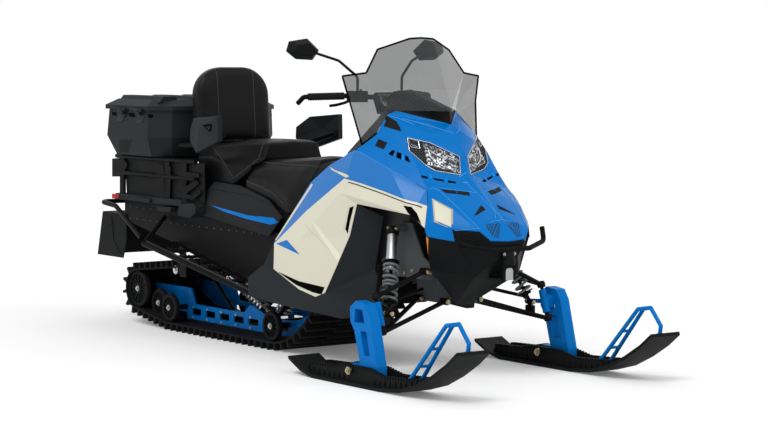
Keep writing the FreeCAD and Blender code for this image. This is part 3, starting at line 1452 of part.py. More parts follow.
leg = leg_plate(leg_shares, leg_y0, leg_y1)
for window_shares in (upper_window_shares, lower_window_shares):
    leg = leg.cut(leg_plate(window_shares, leg_y0 - overrun, leg_y1 + overrun))
tube_start = kingpin_low + kingpin_way * kingpin_space
tube_long = kingpin_span - kingpin_space * 2
pin_tube = Part.makeCylinder(kingpin_eye_r, tube_long, tube_start, kingpin_way)
tube_middle = tube_start + kingpin_way * (tube_long / 2)
tie_eye_x = 905.0
tie_in = 18.0            # tie rod's eye, inward of the kingpin
tie_eye_y = kingpin_y - tie_in
tie_eye_z = 286.0
tie_stud_r = 6.0
tie_eye_r = 13.0
tie_eye_tall = 16.0
steer_arm_r = 10.0
tie_eye = Vector(tie_eye_x, tie_eye_y, tie_eye_z)
arm_thick = 14.0
bridge = block(tube_middle + Vector(-arm_thick, 0, -arm_thick * 2),
               Vector(tube_middle.x + arm_thick, leg_y0 + overrun, tube_middle.z + arm_thick * 2))
steer_arm = bar(tube_middle, tie_eye, steer_arm_r)
tie_knob_r = steer_arm_r + small_round / 2
tie_knob = Part.makeSphere(tie_knob_r, tie_eye)
tie_stud_long = tie_knob_r + seat_gap + tie_eye_tall + small_round
tie_stud = Part.makeCylinder(tie_stud_r, tie_stud_long, tie_eye, kingpin_way)
foot_block = block(Vector(ski_bolt_x - ski_bolt_r * 3, leg_y0, ski_thick + seat_gap),
                   Vector(leg_front_x, leg_y1, kingpin_top_z * leg_shares[0][1]))
bolt_hole = bar(Vector(ski_bolt_x, leg_y0 - overrun, ski_bolt_z),
                Vector(ski_bolt_x, leg_y1 + overrun, ski_bolt_z), ski_bolt_r)
foot_block = foot_block.cut(bolt_hole)
spindle = joined([leg, foot_block, pin_tube, bridge, steer_arm, tie_knob, tie_stud])
spindle = spindle.cut(Part.makeCylinder(kingpin_r + pin_gap, kingpin_span + overrun * 2,
                                        kingpin_low - kingpin_way * overrun, kingpin_way))
save_pair("spindle", spindle)

# Tie rods, from a stud on the spindle's arm to the steering link in the frame
tie_rod_r = 8.0
tie_in_y = 150.0
tie_in_z = 372.0
eye_foot = tie_eye + kingpin_way * (tie_knob_r + seat_gap)
rod_eye = Part.makeCylinder(tie_eye_r, tie_eye_tall, eye_foot, kingpin_way)
rod_bar = bar(eye_foot + kingpin_way * (tie_eye_tall / 2), Vector(tie_eye_x, tie_in_y, tie_in_z), tie_rod_r)
rod_bore = Part.makeCylinder(tie_stud_r + pin_gap, tie_eye_tall + overrun * 2,
                             eye_foot - kingpin_way * overrun, kingpin_way)
save_pair("tie_rod", joined([rod_eye, rod_bar]).cut(rod_bore))

# Skis
ski_y0 = ski_y - ski_wide / 2
ski_y1 = ski_y + ski_wide / 2
sole_shares = [(-1.0, 0.302), (-0.788, 0.098), (-0.587, 0.0), (0.302, 0.0), (0.489, 0.059),
               (0.643, 0.215), (0.783, 0.459), (0.910, 0.741), (1.0, 1.0)]
wall_shares = [(0.592, 0.302), (0.310, 0.254), (0.170, 0.351), (-0.170, 0.351), (-0.337, 0.283),
               (-0.724, 0.254)]


def ski_place(along_share, up_share):
    """A place beside a ski, along it from its bolt and up to the height of its tip."""
    length = ski_rear_long if along_share < 0 else ski_front_long
    return ski_bolt_x + length * along_share, ski_tip_z * up_share


under = [ski_place(along, up) for along, up in sole_shares]
over = [(x - ski_thick * 0.35, z + ski_thick) for x, z in reversed(under)]
blade = side_prism(under + over, ski_y0, ski_y1)
wall_foot = [(x, z + ski_thick / 2) for x, z in under[1:-2]]
wall_head = [ski_place(along, up) for along, up in wall_shares]
rim_in = 30.0
rims = []
for y in (ski_y0 + rim_in, ski_y1 - rim_in - ski_thick):
    rims.append(side_prism(wall_foot + wall_head, y, y + ski_thick))
bolt = bar(Vector(ski_bolt_x, ski_y0 + rim_in - ski_thick, ski_bolt_z),
           Vector(ski_bolt_x, ski_y1 - rim_in + ski_thick, ski_bolt_z), ski_bolt_r)
ski = joined([blade, bolt] + rims)
save_pair("ski", ski)

# Ski handle: a front strap, the top and two rear legs
handle_half = 34.0
rung_shares = (0.3, 0.6)


def handle_point(along_share, across_share, up_share):
    """A point of the left ski's handle."""
    x, z = ski_place(along_share, up_share)
    return Vector(x, ski_y + handle_half * across_share, z)


top_point = handle_point(0.874, 0.0, 1.546)
elbow = handle_point(0.9586, 0.0, 1.2)
front_foot = handle_point(0.948, 0.0, 0.956)
leg_feet = [handle_point(0.485, side, 0.224) for side in (-1.0, 1.0)]
leg_heads = [handle_point(0.793, side, 1.493) for side in (-0.5, 0.5)]
pieces = [Part.makeSphere(handle_tube_r, point) for point in leg_heads + [top_point, elbow]]
runs = list(zip(leg_feet, leg_heads)) + [(leg_head, top_point) for leg_head in leg_heads]
for start, end in runs + [(top_point, elbow), (elbow, front_foot)]:
    pieces.append(bar(start, end, handle_tube_r))
for share in rung_shares:
    ends = [foot + (leg_head - foot) * share for foot, leg_head in zip(leg_feet, leg_heads)]
    pieces.append(bar(ends[0], ends[1], handle_tube_r * 0.7))
handle = joined(pieces).cut(ski)
save_pair("ski_handle", handle)

# Front bumper: a bent tube under the hood's lip, and its bracket with the tow eye
bumper_tube_r = 11.0
front_line = [cowl(1.237, 0.680, 0.648), cowl(1.258, 0.660, 0.590), cowl(1.312, 0.300, 0.568)]
front_line = front_line + [flipped(point) for point in reversed(front_line)]
front_bumper = bent_tube(front_line, bumper_tube_r, bumper_tube_r * 2.5)
plate_half = 34.0
plate_thick = 8.0
plate_low_z = 436.0
tow_eye_z = plate_low_z + plate_half
plate_x1 = front_line[2].x - bumper_tube_r / 2
plate_x0 = plate_x1 - plate_thick
shelf_middle = nose_points["shelf_middle"]
jaw_square = (nose_points["jaw"] - shelf_middle).cross(nose_points["jaw_middle"] - shelf_middle)
foot_top_z = plate_low_z + plate_thick * 1.5
foot_reach = jaw_square.y * plate_half + jaw_square.z * (foot_top_z - shelf_middle.z)
foot_x = shelf_middle.x - foot_reach / jaw_square.x + seat_gap
bracket = joined([
    block(Vector(plate_x0, -plate_half, plate_low_z), Vector(plate_x1, plate_half, front_line[2].z)),
    block(Vector(foot_x, -plate_half, foot_top_z - plate_thick), Vector(plate_x1, plate_half, foot_top_z)),
])
bracket = bracket.cut(Part.makeCylinder(hitch_hole_r, plate_thick + overrun * 2,
                                        Vector(plate_x0 - overrun, 0, tow_eye_z), ALONG))
front_bumper = front_bumper.fuse(bracket)
save("front_bumper", front_bumper)

# Screen: facets that wrap round the console
screen_back = Vector(-seat_gap, 0, 0)
screen_points = {
    "foot": cowl(0.906, 0.0, 1.137),
    "low_side": hood_points["crown"] + screen_back,
    "low_brow": hood_points["crown_side"] + screen_back,
    "low_neck": hood_points["neck"] + screen_back,
    "hip": hood_points["neck"] * 0.3 + hood_points["shoulder"] * 0.7 + screen_back,
    "top": cowl(0.686, 0.0, 1.455),
    "top_side": cowl(0.689, 0.189, 1.451),
    "upper": cowl(0.634, 0.569, 1.403),
    "notch": cowl(0.651, 0.777, 1.301),
    "wing": cowl(0.622, 1.083, 1.287),
    "wing_low": cowl(0.639, 1.000, 1.172),
}
screen_facets = [
    ["foot", "top_side", "top"],
    ["foot", "upper", "top_side"],
    ["foot", "notch", "upper"],
    ["foot", "low_side", "notch"],
    ["low_side", "wing", "notch"],
    ["low_side", "wing_low", "wing"],
    ["low_side", "low_brow", "wing_low"],
    ["low_brow", "low_neck", "wing_low"],
    ["low_neck", "hip", "wing_low"],
]
screen_all, screen_sides = both_halves(screen_points, screen_facets)
save("windshield", panel(screen_all, screen_sides, Vector(-moulding, 0, 0)))

# Steering post and its riser, about the raked axis
rake = math.radians(steer_rake_turn)
steer_way = Vector(-math.sin(rake), 0, math.cos(rake))
clamp = Vector(bar_x, 0, bar_z)
post_low = clamp - steer_way * post_long
post = bar(post_low, clamp - steer_way * (bar_r * 6), post_r)
bearing_half = 60.0
bearing_long = 30.0
strut_tall = 24.0
bearing_low = post_low - steer_way * bearing_long
bearing = Part.makeCylinder(post_r * 2, bearing_long - seat_gap, bearing_low, steer_way)
bearing = bearing.fuse(block(Vector(post_low.x - bearing_half / 2, -bearing_half, engine_top_z),
                             Vector(post_low.x + bearing_half / 2, bearing_half,
                                    engine_top_z + strut_tall)))
bearing = bearing.fuse(bar(Vector(bearing_low.x, 0, engine_top_z + strut_tall / 2),
                           bearing_low + steer_way * overrun, post_r))
save("post_bearing", bearing)

riser_wide = 58.0
riser_half = 15.0
riser = block(Vector(-riser_half, -riser_wide, -bar_r * 7), Vector(riser_half, riser_wide, bar_r * 1.5))
riser = riser.cut(block(Vector(-riser_half - overrun, -riser_wide * 0.55, -bar_r * 4.6),
                        Vector(riser_half + overrun, riser_wide * 0.55, -bar_r * 1.6)))
riser.rotate(ORIGIN, ACROSS, -steer_rake_turn)
riser.translate(clamp)


# Handlebar: a bent tube with hooked ends
def bar_place(back_share, out_share, up_share):
    """A point by the handlebar, in shares of its half width from the clamp."""
    return clamp + Vector(-back_share, out_share, up_share) * bar_half


bar_elbow = bar_place(0.066, 0.519, 0.016)
bar_hook = bar_place(0.366, 0.962, 0.0)
bar_line = [bar_place(0.443, 1.0, -0.082), bar_hook, bar_elbow, bar_place(0.0, 0.191, 0.0)]
bar_line = bar_line + [flipped(point) for point in reversed(bar_line)]
handlebar = bent_tube(bar_line, bar_r, bar_r * 1.6)
save("steering_post", joined([post, riser.cut(handlebar)]))
save("handlebar", handlebar)

grip_shares = (0.073, 0.909)
grip_ends = [bar_elbow + (bar_hook - bar_elbow) * share for share in grip_shares]
save_both("grips", bar(grip_ends[0], grip_ends[1], grip_r).cut(handlebar))
pod = block(bar_place(0.142, 0.284, -0.060), bar_place(-0.033, 0.481, 0.077)).cut(handlebar)
save_both("control_pods", pod)

# Mirrors on bent stalks
stalk_r = 6.0
stalk_points = [bar_place(0.109, 0.339, 0.077), bar_place(0.109, 0.339, 0.246),
                bar_place(0.197, 0.560, 0.443), bar_place(0.339, 0.874, 0.552)]
stalk = bent_tube(stalk_points, stalk_r, stalk_r * 5)
glass_shares = [(0.716, 0.568), (0.820, 0.443), (1.071, 0.454), (1.219, 0.552), (1.175, 0.678),
                (0.902, 0.716)]
shell_shares = [(0.820, 0.568), (0.891, 0.497), (1.049, 0.503), (1.137, 0.563), (1.104, 0.634),
                (0.929, 0.656)]
mirror_head = hull_of_rings([
    [bar_place(back, out, up) for out, up in shares]
    for back, shares in ((0.388, glass_shares), (0.279, shell_shares))])
save_both("mirrors", stalk.fuse(mirror_head))
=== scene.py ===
# %% [markdown]
# # A two-seat utility snowmobile
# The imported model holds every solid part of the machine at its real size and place.
# This lesson dresses it. Each cell makes one piece or one finish, and says why it is made that way.
# All lengths are metres, +X is forward, +Y is the rider's left and +Z is up.

# %% The frame
import json
import math

import bmesh
import bpy
from mathutils import Matrix, Vector
from mathutils.bvhtree import BVHTree

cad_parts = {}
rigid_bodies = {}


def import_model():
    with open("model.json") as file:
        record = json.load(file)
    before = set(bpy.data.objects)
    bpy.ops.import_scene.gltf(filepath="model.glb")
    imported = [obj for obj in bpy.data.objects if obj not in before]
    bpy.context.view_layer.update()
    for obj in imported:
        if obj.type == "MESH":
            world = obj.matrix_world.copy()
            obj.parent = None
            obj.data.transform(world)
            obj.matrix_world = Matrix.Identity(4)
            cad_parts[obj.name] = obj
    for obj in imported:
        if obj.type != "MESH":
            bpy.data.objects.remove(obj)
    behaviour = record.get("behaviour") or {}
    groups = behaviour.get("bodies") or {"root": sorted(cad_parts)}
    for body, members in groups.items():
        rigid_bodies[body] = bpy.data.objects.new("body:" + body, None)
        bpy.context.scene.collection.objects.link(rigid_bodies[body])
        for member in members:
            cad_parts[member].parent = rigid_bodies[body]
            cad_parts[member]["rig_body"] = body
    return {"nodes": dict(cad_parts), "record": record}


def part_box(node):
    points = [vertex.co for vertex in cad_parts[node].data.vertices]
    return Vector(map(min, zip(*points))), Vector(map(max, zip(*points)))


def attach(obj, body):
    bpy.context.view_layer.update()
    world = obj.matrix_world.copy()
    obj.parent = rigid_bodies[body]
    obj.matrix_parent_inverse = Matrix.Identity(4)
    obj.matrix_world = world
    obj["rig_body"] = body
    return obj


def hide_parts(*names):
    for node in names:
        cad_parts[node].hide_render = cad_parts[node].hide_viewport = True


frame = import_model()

nodes = frame["nodes"]
slot_of = {row["node"]: row["material_slot"] for row in frame["record"]["subparts"]}
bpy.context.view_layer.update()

# %% [markdown]
# ## Camera, light and floor
# A long lens far away keeps the skis and the cargo box in proportion, as in a catalogue picture.
# The light is a bright dome with two wide suns: suns have no falloff, so the floor stays one even
# white right up to the horizon, and the machine keeps a soft shadow under it.


# %% Camera
def way_to(azimuth, elevation):
    """The way from the machine to an azimuth round it and an elevation, in radians."""
    return Vector((math.sin(azimuth) * math.cos(elevation),
                   -math.cos(azimuth) * math.cos(elevation),
                   math.sin(elevation)))


camera_place = Vector((8.492, -6.024, 1.387))
camera_azimuth = math.radians(53.26)
camera_elevation = math.radians(4.17)
camera_roll = math.radians(0.35)

camera_data = bpy.data.cameras.new("camera")
camera_data.lens = 104.7
camera_data.sensor_width = 36.0
camera = bpy.data.objects.new("camera", camera_data)
bpy.context.scene.collection.objects.link(camera)
bpy.context.scene.camera = camera
away = way_to(camera_azimuth, camera_elevation)
level = Vector((0, 0, 1)).cross(away).normalized()
upright = away.cross(level)
rolled_level = level * math.cos(camera_roll) + upright * math.sin(camera_roll)
rolled_upright = upright * math.cos(camera_roll) - level * math.sin(camera_roll)
turn = Matrix((rolled_level, rolled_upright, away)).transposed().to_4x4()
camera.matrix_world = Matrix.Translation(camera_place) @ turn

# %% Light
dome_light = 0.62
world = bpy.data.worlds.new("studio")
bpy.context.scene.world = world
world.use_nodes = True
dome = world.node_tree.nodes["Background"]
world_nodes = world.node_tree.nodes
world_links = world.node_tree.links
path = world_nodes.new("ShaderNodeLightPath")
seen = path.outputs["Is Camera Ray"]
for kind in ("Is Transmission Ray", "Is Glossy Ray"):
    either = world_nodes.new("ShaderNodeMath")
    either.operation = "MAXIMUM"
    world_links.new(seen, either.inputs[0])
    world_links.new(path.outputs[kind], either.inputs[1])
    seen = either.outputs[0]
strength = world_nodes.new("ShaderNodeMapRange")
world_links.new(seen, strength.inputs["Value"])
strength.inputs["To Min"].default_value = dome_light
strength.inputs["To Max"].default_value = 1.0
world_links.new(strength.outputs["Result"], dome.inputs["Strength"])
dome.inputs["Color"].default_value = (1.0, 1.0, 1.0, 1.0)


def sun(name, strength, azimuth, elevation, spread):
    """A wide sun that shines from an azimuth round the machine and an elevation, in degrees."""
    data = bpy.data.lights.new(name, "SUN")
    data.energy = strength
    data.angle = math.radians(spread)
    lamp = bpy.data.objects.new(name, data)
    bpy.context.scene.collection.objects.link(lamp)
    towards = way_to(math.radians(azimuth), math.radians(elevation))
    lamp.rotation_mode = "QUATERNION"
    lamp.rotation_quaternion = towards.to_track_quat("Z", "Y")


sun("key", 1.25, 25.0, 52.0, 25.0)
sun("fill", 0.45, 110.0, 35.0, 40.0)
bpy.context.scene.view_settings.view_transform = "Standard"

# %% [markdown]
# ## Materials as expressions
# A wrapped socket lets shader maths be written as Python, so a paint border reads like the line that
# it is. One method adds every other node: its settings first, then the values or links of its sockets.


# %% A socket that does sums
class Value:
    """A shader socket that Python's own operators work on."""

    def __init__(self, paint, socket):
        self.paint = paint
        self.socket = socket

    def maths(self, operation, first, second):
        return self.paint.add("ShaderNodeMath", {"operation": operation}, {0: first, 1: second})

    def __add__(self, other):
        return self.maths("ADD", self, other)

    def __sub__(self, other):
        return self.maths("SUBTRACT", self, other)

    def __mul__(self, other):
        return self.maths("MULTIPLY", self, other)

    def __gt__(self, other):
        return self.maths("GREATER_THAN", self, other)

    def __lt__(self, other):
        return self.maths("LESS_THAN", self, other)

    def lower(self, other):
        return self.maths("MINIMUM", self, other)


# %% One material
class Paint:
    """A material: its shader, and the nodes that feed it."""

    def __init__(self, name, colour, roughness, metallic=0.0, **plain):
        self.material = bpy.data.materials.new(name)
        self.material.use_nodes = True
        self.tree = self.material.node_tree
        self.shader = self.tree.nodes["Principled BSDF"]
        self.set("Base Color", (*colour, 1.0))
        self.set("Roughness", roughness)
        self.set("Metallic", metallic)
        for words, value in plain.items():
            self.set(words.replace("_", " ").title().replace("Ior", "IOR"), value)
        self.material.diffuse_color = (*colour, 1.0)

    def join(self, value, socket):
        if isinstance(value, Value):
            self.tree.links.new(value.socket, socket)
        else:
            socket.default_value = value

    def set(self, name, value):
        self.join(value, self.shader.inputs[name])

    def add(self, kind, settings=None, sockets=None, output=0):
        node = self.tree.nodes.new(kind)
        for name, value in (settings or {}).items():
            setattr(node, name, value)
        for key, value in (sockets or {}).items():
            self.join(value, node.inputs[key])
        return Value(self, node.outputs[output])

    def place(self):
        return self.add("ShaderNodeTexCoord", output="Object")

    def axes(self):
        """The place's three coordinates, each a value."""
        split = self.add("ShaderNodeSeparateXYZ", sockets={0: self.place()})
        return [Value(self, split.socket.node.outputs[index]) for index in range(3)]

    def noise(self, scale, detail=3.0):
        return self.add("ShaderNodeTexNoise", sockets={
            "Vector": self.place(), "Scale": scale, "Detail": detail})

    def cells(self, scale):
        return self.add("ShaderNodeTexVoronoi", {"feature": "DISTANCE_TO_EDGE"},
                        {"Vector": self.place(), "Scale": scale})

    def mixed(self, share, first, second):
        """Two colours, or values that give colours, mixed by a share."""
        first, second = ((*colour, 1.0) if isinstance(colour, tuple) else colour
                         for colour in (first, second))
        return self.add("ShaderNodeMix", {"data_type": "RGBA"}, {0: share, 6: first, 7: second}, output=2)

    def bump(self, height, strength, distance):
        self.set("Normal", self.add("ShaderNodeBump", sockets={
            "Height": height, "Strength": strength, "Distance": distance}))


def shade(colour, times):
    """A colour made lighter or darker."""
    return tuple(min(1.0, channel * times) for channel in colour)


# %% [markdown]
# ## Finishes
# Moulded plastic has a spark-eroded grain under a millimetre across, and its sheen drifts a little
# over a large panel. Gloss parts keep a clear coat with a faint orange peel. Rubber is dusty where it
# flexes. Vinyl has leather-like cells. Each finish is one function, so like parts stay alike.

# %% Plastic, paint, rubber and vinyl
blue = (0.0, 0.160, 0.515)
cream = (0.690, 0.665, 0.535)
near_black = (0.011, 0.011, 0.012)


def grained(name, colour):
    """Matt moulded plastic with an eroded grain."""
    roughness = 0.52
    paint = Paint(name, colour, roughness, specular_ior_level=0.05)
    drift = paint.noise(2.5, 2.0)
    paint.set("Base Color", paint.mixed(drift, shade(colour, 0.85), shade(colour, 1.18)))
    paint.set("Roughness", paint.noise(9.0) * 0.14 + (roughness - 0.07))
    paint.bump(paint.noise(1400.0, 1.0), 0.35, 0.0004)
    return paint.material


def glossy(name, colour, roughness=0.26):
    """Gloss plastic or paint under a clear coat."""
    paint = Paint(name, colour, roughness, specular_ior_level=0.06, coat_weight=0.05,
                  coat_roughness=0.08)
    drift = paint.noise(1.6, 2.0)
    paint.set("Base Color", paint.mixed(drift, shade(colour, 0.94), shade(colour, 1.05)))
    paint.set("Roughness", paint.noise(14.0) * 0.08 + (roughness - 0.04))
    paint.bump(paint.noise(220.0, 2.0), 0.05, 0.0004)
    return paint.material


def powder(name, colour, roughness=0.42):
    """Powder-coated metal with a fine texture and rubbed spots."""
    paint = Paint(name, colour, roughness, specular_ior_level=0.05)
    rubbed = (paint.noise(34.0, 4.0) > 0.66) * 0.35
    paint.set("Base Color", paint.mixed(rubbed, colour, shade(colour, 1.8)))
    paint.set("Roughness", paint.noise(18.0) * 0.16 + (roughness - 0.08))
    paint.bump(paint.noise(900.0, 1.0), 0.22, 0.0003)
    return paint.material


def bare(name, colour, roughness):
    """Bare metal with a fine grain."""
    paint = Paint(name, colour, roughness, metallic=1.0)
    lines = paint.noise(420.0, 2.0)
    paint.set("Roughness", lines * 0.2 + (roughness - 0.1))
    paint.set("Base Color", paint.mixed(paint.noise(20.0), shade(colour, 0.85), shade(colour, 1.1)))
    paint.bump(lines, 0.12, 0.0002)
    return paint.material


def rubbery(name, colour):
    """Moulded rubber, a little dusty."""
    paint = Paint(name, colour, 0.62, specular_ior_level=0.04)
    dust = paint.noise(22.0, 5.0)
    paint.set("Base Color", paint.mixed(dust, shade(colour, 0.6), shade(colour, 1.9)))
    paint.set("Roughness", dust * 0.2 + 0.52)
    paint.bump(paint.noise(600.0, 2.0), 0.3, 0.0005)
    return paint.material


def vinyl(name, colour):
    """Seat vinyl with a leather grain."""
    paint = Paint(name, colour, 0.38, specular_ior_level=0.12)
    paint.set("Base Color", paint.mixed(paint.noise(6.0), shade(colour, 0.8), shade(colour, 1.25)))
    paint.set("Roughness", paint.noise(12.0) * 0.12 + 0.36)
    paint.bump(paint.cells(420.0), 0.25, 0.0005)
    return paint.material


def clear(name, colour, alpha, roughness=0.05):
    """A see-through moulding: its tint is its colour, and its coat gives the gloss."""
    paint = Paint(name, colour, roughness, alpha=alpha, specular_ior_level=0.15, coat_weight=0.08,
                  coat_roughness=0.10)
    paint.set("Roughness", paint.noise(30.0) * 0.03 + roughness)
    return paint.material


finish = {name: make(name, *settings) for name, make, *settings in (
    ("track_rubber", rubbery, (0.0085, 0.0085, 0.009)),
    ("black_plastic", grained, (0.0085, 0.0090, 0.0095)),
    ("dark_plastic", grained, (0.020, 0.023, 0.025)),
    ("seat_cover", vinyl, (0.0050, 0.0050, 0.0054)),
    ("blue_paint", powder, blue, 0.36),
    ("black_paint", powder, (0.0040, 0.0040, 0.0043)),
    ("bare_metal", bare, (0.55, 0.56, 0.57), 0.34),
    ("spring_steel", bare, (0.62, 0.63, 0.64), 0.26),
    ("blue_cowl", glossy, blue),
    ("cream_cowl", glossy, cream, 0.32),
    ("grey_deck", grained, (0.017, 0.019, 0.021)),
    ("smoke_screen", clear, (0.055, 0.058, 0.060), 0.50),
    ("clear_lens", clear, (0.30, 0.33, 0.36), 0.10, 0.02),
    ("red_lens", clear, (0.45, 0.006, 0.010), 0.95),
    ("amber_lens", clear, (0.72, 0.25, 0.010), 0.95, 0.12),
    ("mirror_glass", bare, (0.82, 0.83, 0.84), 0.03),
    ("engine_metal", grained, (0.05, 0.05, 0.05)),
    ("grip_rubber", rubbery, near_black),
    ("frame_grey", powder, (0.072, 0.080, 0.080), 0.46),
    ("spring_grey", powder, (0.155, 0.160, 0.165), 0.34),
    ("shock_grey", bare, (0.40, 0.41, 0.42), 0.36),
    ("gilt_zinc", bare, (0.50, 0.42, 0.26), 0.34),
    # Lighter blue for the beads along creases and ridges: a painted highlight.
    ("blue_edge", glossy, (0.055, 0.30, 0.74), 0.24),
    # Lighter vinyl for the seam beads: a painted highlight along real seams.
    ("seam_vinyl", vinyl, (0.042, 0.043, 0.045)),
    ("worn_edge", bare, (0.11, 0.11, 0.115), 0.42),
    ("key_grey", rubbery, (0.05, 0.05, 0.052)),
    ("display_dark", glossy, (0.004, 0.005, 0.007), 0.08),
)}
chrome = bare("chrome", (0.86, 0.87, 0.88), 0.06)

# %% [markdown]
# ## From a solid to a moulding
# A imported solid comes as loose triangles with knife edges. A copy of it is merged, its flat faces
# are joined again, and a Bevel modifier rounds its edges by what the real part's mould would give.
# That catches a thin line of light along every edge, which a knife edge never does.


# %% Pieces
def rides(thing, body, slot, material, bevel=0.0, segments=2, angle=30.0, stands_for=()):
    """Link a piece, give it its finish and rounding, and let it move with its body."""
    if thing.name not in bpy.context.scene.collection.objects:
        bpy.context.scene.collection.objects.link(thing)
    if not thing.data.materials:
        thing.data.materials.append(material)
    if bevel:
        round_edges = thing.modifiers.new("edges", "BEVEL")
        round_edges.width = bevel
        round_edges.segments = segments
        round_edges.limit_method = "ANGLE"
        round_edges.angle_limit = math.radians(angle)
        round_edges.harden_normals = True
    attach(thing, body)
    if stands_for:
        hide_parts(*stands_for)
    return thing


def verts_in(parts):
    """The vertices among the parts that an operator made."""
    return [part for part in parts if isinstance(part, bmesh.types.BMVert)]


def both_sides(shape):
    """Add the mirror image on the machine's other side."""
    image = bmesh.ops.duplicate(shape, geom=shape.verts[:] + shape.edges[:] + shape.faces[:])["geom"]
    faces = [part for part in image if isinstance(part, bmesh.types.BMFace)]
    bmesh.ops.scale(shape, verts=verts_in(image), vec=(1.0, -1.0, 1.0))
    bmesh.ops.reverse_faces(shape, faces=faces)


def piece(name, shape, body, slot, material=None, smooth=32.0, turned=True, mirrored=False, **ways):
    """Make a finished bmesh a piece of the machine, with its mirror image where it has one."""
    if mirrored:
        both_sides(shape)
    if turned:
        bmesh.ops.remove_doubles(shape, verts=shape.verts, dist=1e-5)
        bmesh.ops.recalc_face_normals(shape, faces=shape.faces)
    mesh = bpy.data.meshes.new(name)
    shape.to_mesh(mesh)
    shape.free()
    mesh.shade_smooth()
    mesh.set_sharp_from_angle(angle=math.radians(smooth))
    thing = bpy.data.objects.new(name, mesh)
    return rides(thing, body, slot, material or finish[slot], **ways)


def copied(node):
    """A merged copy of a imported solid, its flat faces whole again."""
    shape = bmesh.new()
    shape.from_mesh(nodes[node].data)
    bmesh.ops.remove_doubles(shape, verts=shape.verts, dist=5e-5)
    bmesh.ops.dissolve_limit(shape, angle_limit=math.radians(0.8), verts=shape.verts,
                             edges=shape.edges)
    return shape


def dress(node, bevel, angle):
    """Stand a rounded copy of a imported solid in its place."""
    return piece(node + "_skin", copied(node), nodes[node]["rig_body"], slot_of[node],
                 turned=False, bevel=bevel, angle=angle, stands_for=[node])


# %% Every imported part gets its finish
for name, thing in nodes.items():
    thing.data.materials.clear()
    thing.data.materials.append(finish[slot_of[name]])

# %% Rounded copies of the solids that show
panel_round = (0.0022, 5.0)
rounding = {
    "track": (0.0018, 30.0),
    "slide_rails": (0.0012, 30.0),
    "axle_arms": (0.0012, 30.0),
    "tunnel": (0.0010, 20.0),
    "running_boards": (0.0010, 40.0),
    "hitch": (0.0012, 40.0),
    "snow_flap": (0.0016, 20.0),
    "rear_deck": (0.0040, 30.0),
    "tail_lamps": (0.0020, 30.0),
    "cargo_rack": (0.0015, 40.0),
    "cargo_box": (0.0022, 12.0),
    "cargo_lid": (0.0022, 12.0),
    "seat_base": (0.0040, 20.0),
    "hand_guards": (0.0030, 8.0),
    "seat_fairings": (0.0030, 6.0),
    "side_panel_left": panel_round,
    "side_panel_right": panel_round,
    "lower_panels": panel_round,
    "hood": panel_round,
    "nose_panel": panel_round,
    "console": panel_round,
    "tank_cover": (0.0060, 8.0),
    "engine_block": (0.0080, 30.0),
    "front_frame": (0.0012, 30.0),
    "spindle_left": (0.0022, 35.0),
    "spindle_right": (0.0022, 35.0),
    "ski_left": (0.0022, 25.0),
    "ski_right": (0.0022, 25.0),
    "front_bumper": (0.0010, 45.0),
    "steering_post": (0.0015, 35.0),
    "control_pods": (0.0040, 30.0),
    "mirrors": (0.0040, 20.0),
    "windshield": (0.0012, 8.0),
}
skins = {name: dress(name, width, angle) for name, (width, angle) in rounding.items()}
skins["front_frame"].data.materials[0] = finish["frame_grey"]
skins["lower_panels"].data.materials[0] = finish["dark_plastic"]
print("rounded copies", len(rounding))

# %% [markdown]
# ## Shapes that keep coming back
# Most small parts are a box, a rod, a turned profile, a tube along a path or a flat plate. Each has
# one function that adds it to an open bmesh, so a whole set of like parts becomes one tidy piece.

# %% Boxes, rods, turned parts, tubes and plates
MM = 0.001
quarter = {axis: Matrix.Rotation(math.radians(90), 4, axis) for axis in "XYZ"}


def at(x, y, z):
    """A place in the machine, given in millimetres."""
    return Vector((x, y, z)) * MM


def add_box(shape, centre, size, turn=None):
    """A box of a size, turned about its centre."""
    place = Matrix.Translation(centre) @ (turn or Matrix()) @ Matrix.Diagonal((*size, 1.0))
    bmesh.ops.create_cube(shape, size=1.0, matrix=place)


def along(start, end):
    """A place half way between two points, with its Z along them."""
    way = end - start
    return Matrix.Translation((start + end) / 2) @ way.to_track_quat("Z", "Y").to_matrix().to_4x4()


def add_rod(shape, start, end, radius, end_radius=None, sides=16):
    """A round rod between two points; a second radius makes it taper."""
    bmesh.ops.create_cone(
        shape, cap_ends=True, segments=sides, radius1=radius,
        radius2=radius if end_radius is None else end_radius,
        depth=(end - start).length, matrix=along(start, end))


def add_turned(shape, profile, place, steps=32):
    """A turned part from a closed profile of (radius, height) about the place's Z."""
    ring = [shape.verts.new(place @ Vector((radius, 0.0, height))) for radius, height in profile]
    edges = [shape.edges.new(pair) for pair in zip(ring, ring[1:] + ring[:1])]
    bmesh.ops.spin(shape, geom=ring + edges, cent=place.translation,
                   axis=place.to_3x3() @ Vector((0, 0, 1)), angle=2 * math.pi, steps=steps,
                   use_merge=True)


def frames_on(path):
    """A place at each point of a path, turned along it without twist."""
    ways = [(after - before).normalized() for before, after in zip(path, path[1:])]
    turn = ways[0].to_track_quat("Z", "Y")
    places = []
    for index, point in enumerate(path):
        way = (ways[max(index - 1, 0)] + ways[min(index, len(ways) - 1)]).normalized()
        turn = (turn @ Vector((0, 0, 1))).rotation_difference(way) @ turn
        places.append(Matrix.Translation(point) @ turn.to_matrix().to_4x4())
    return places


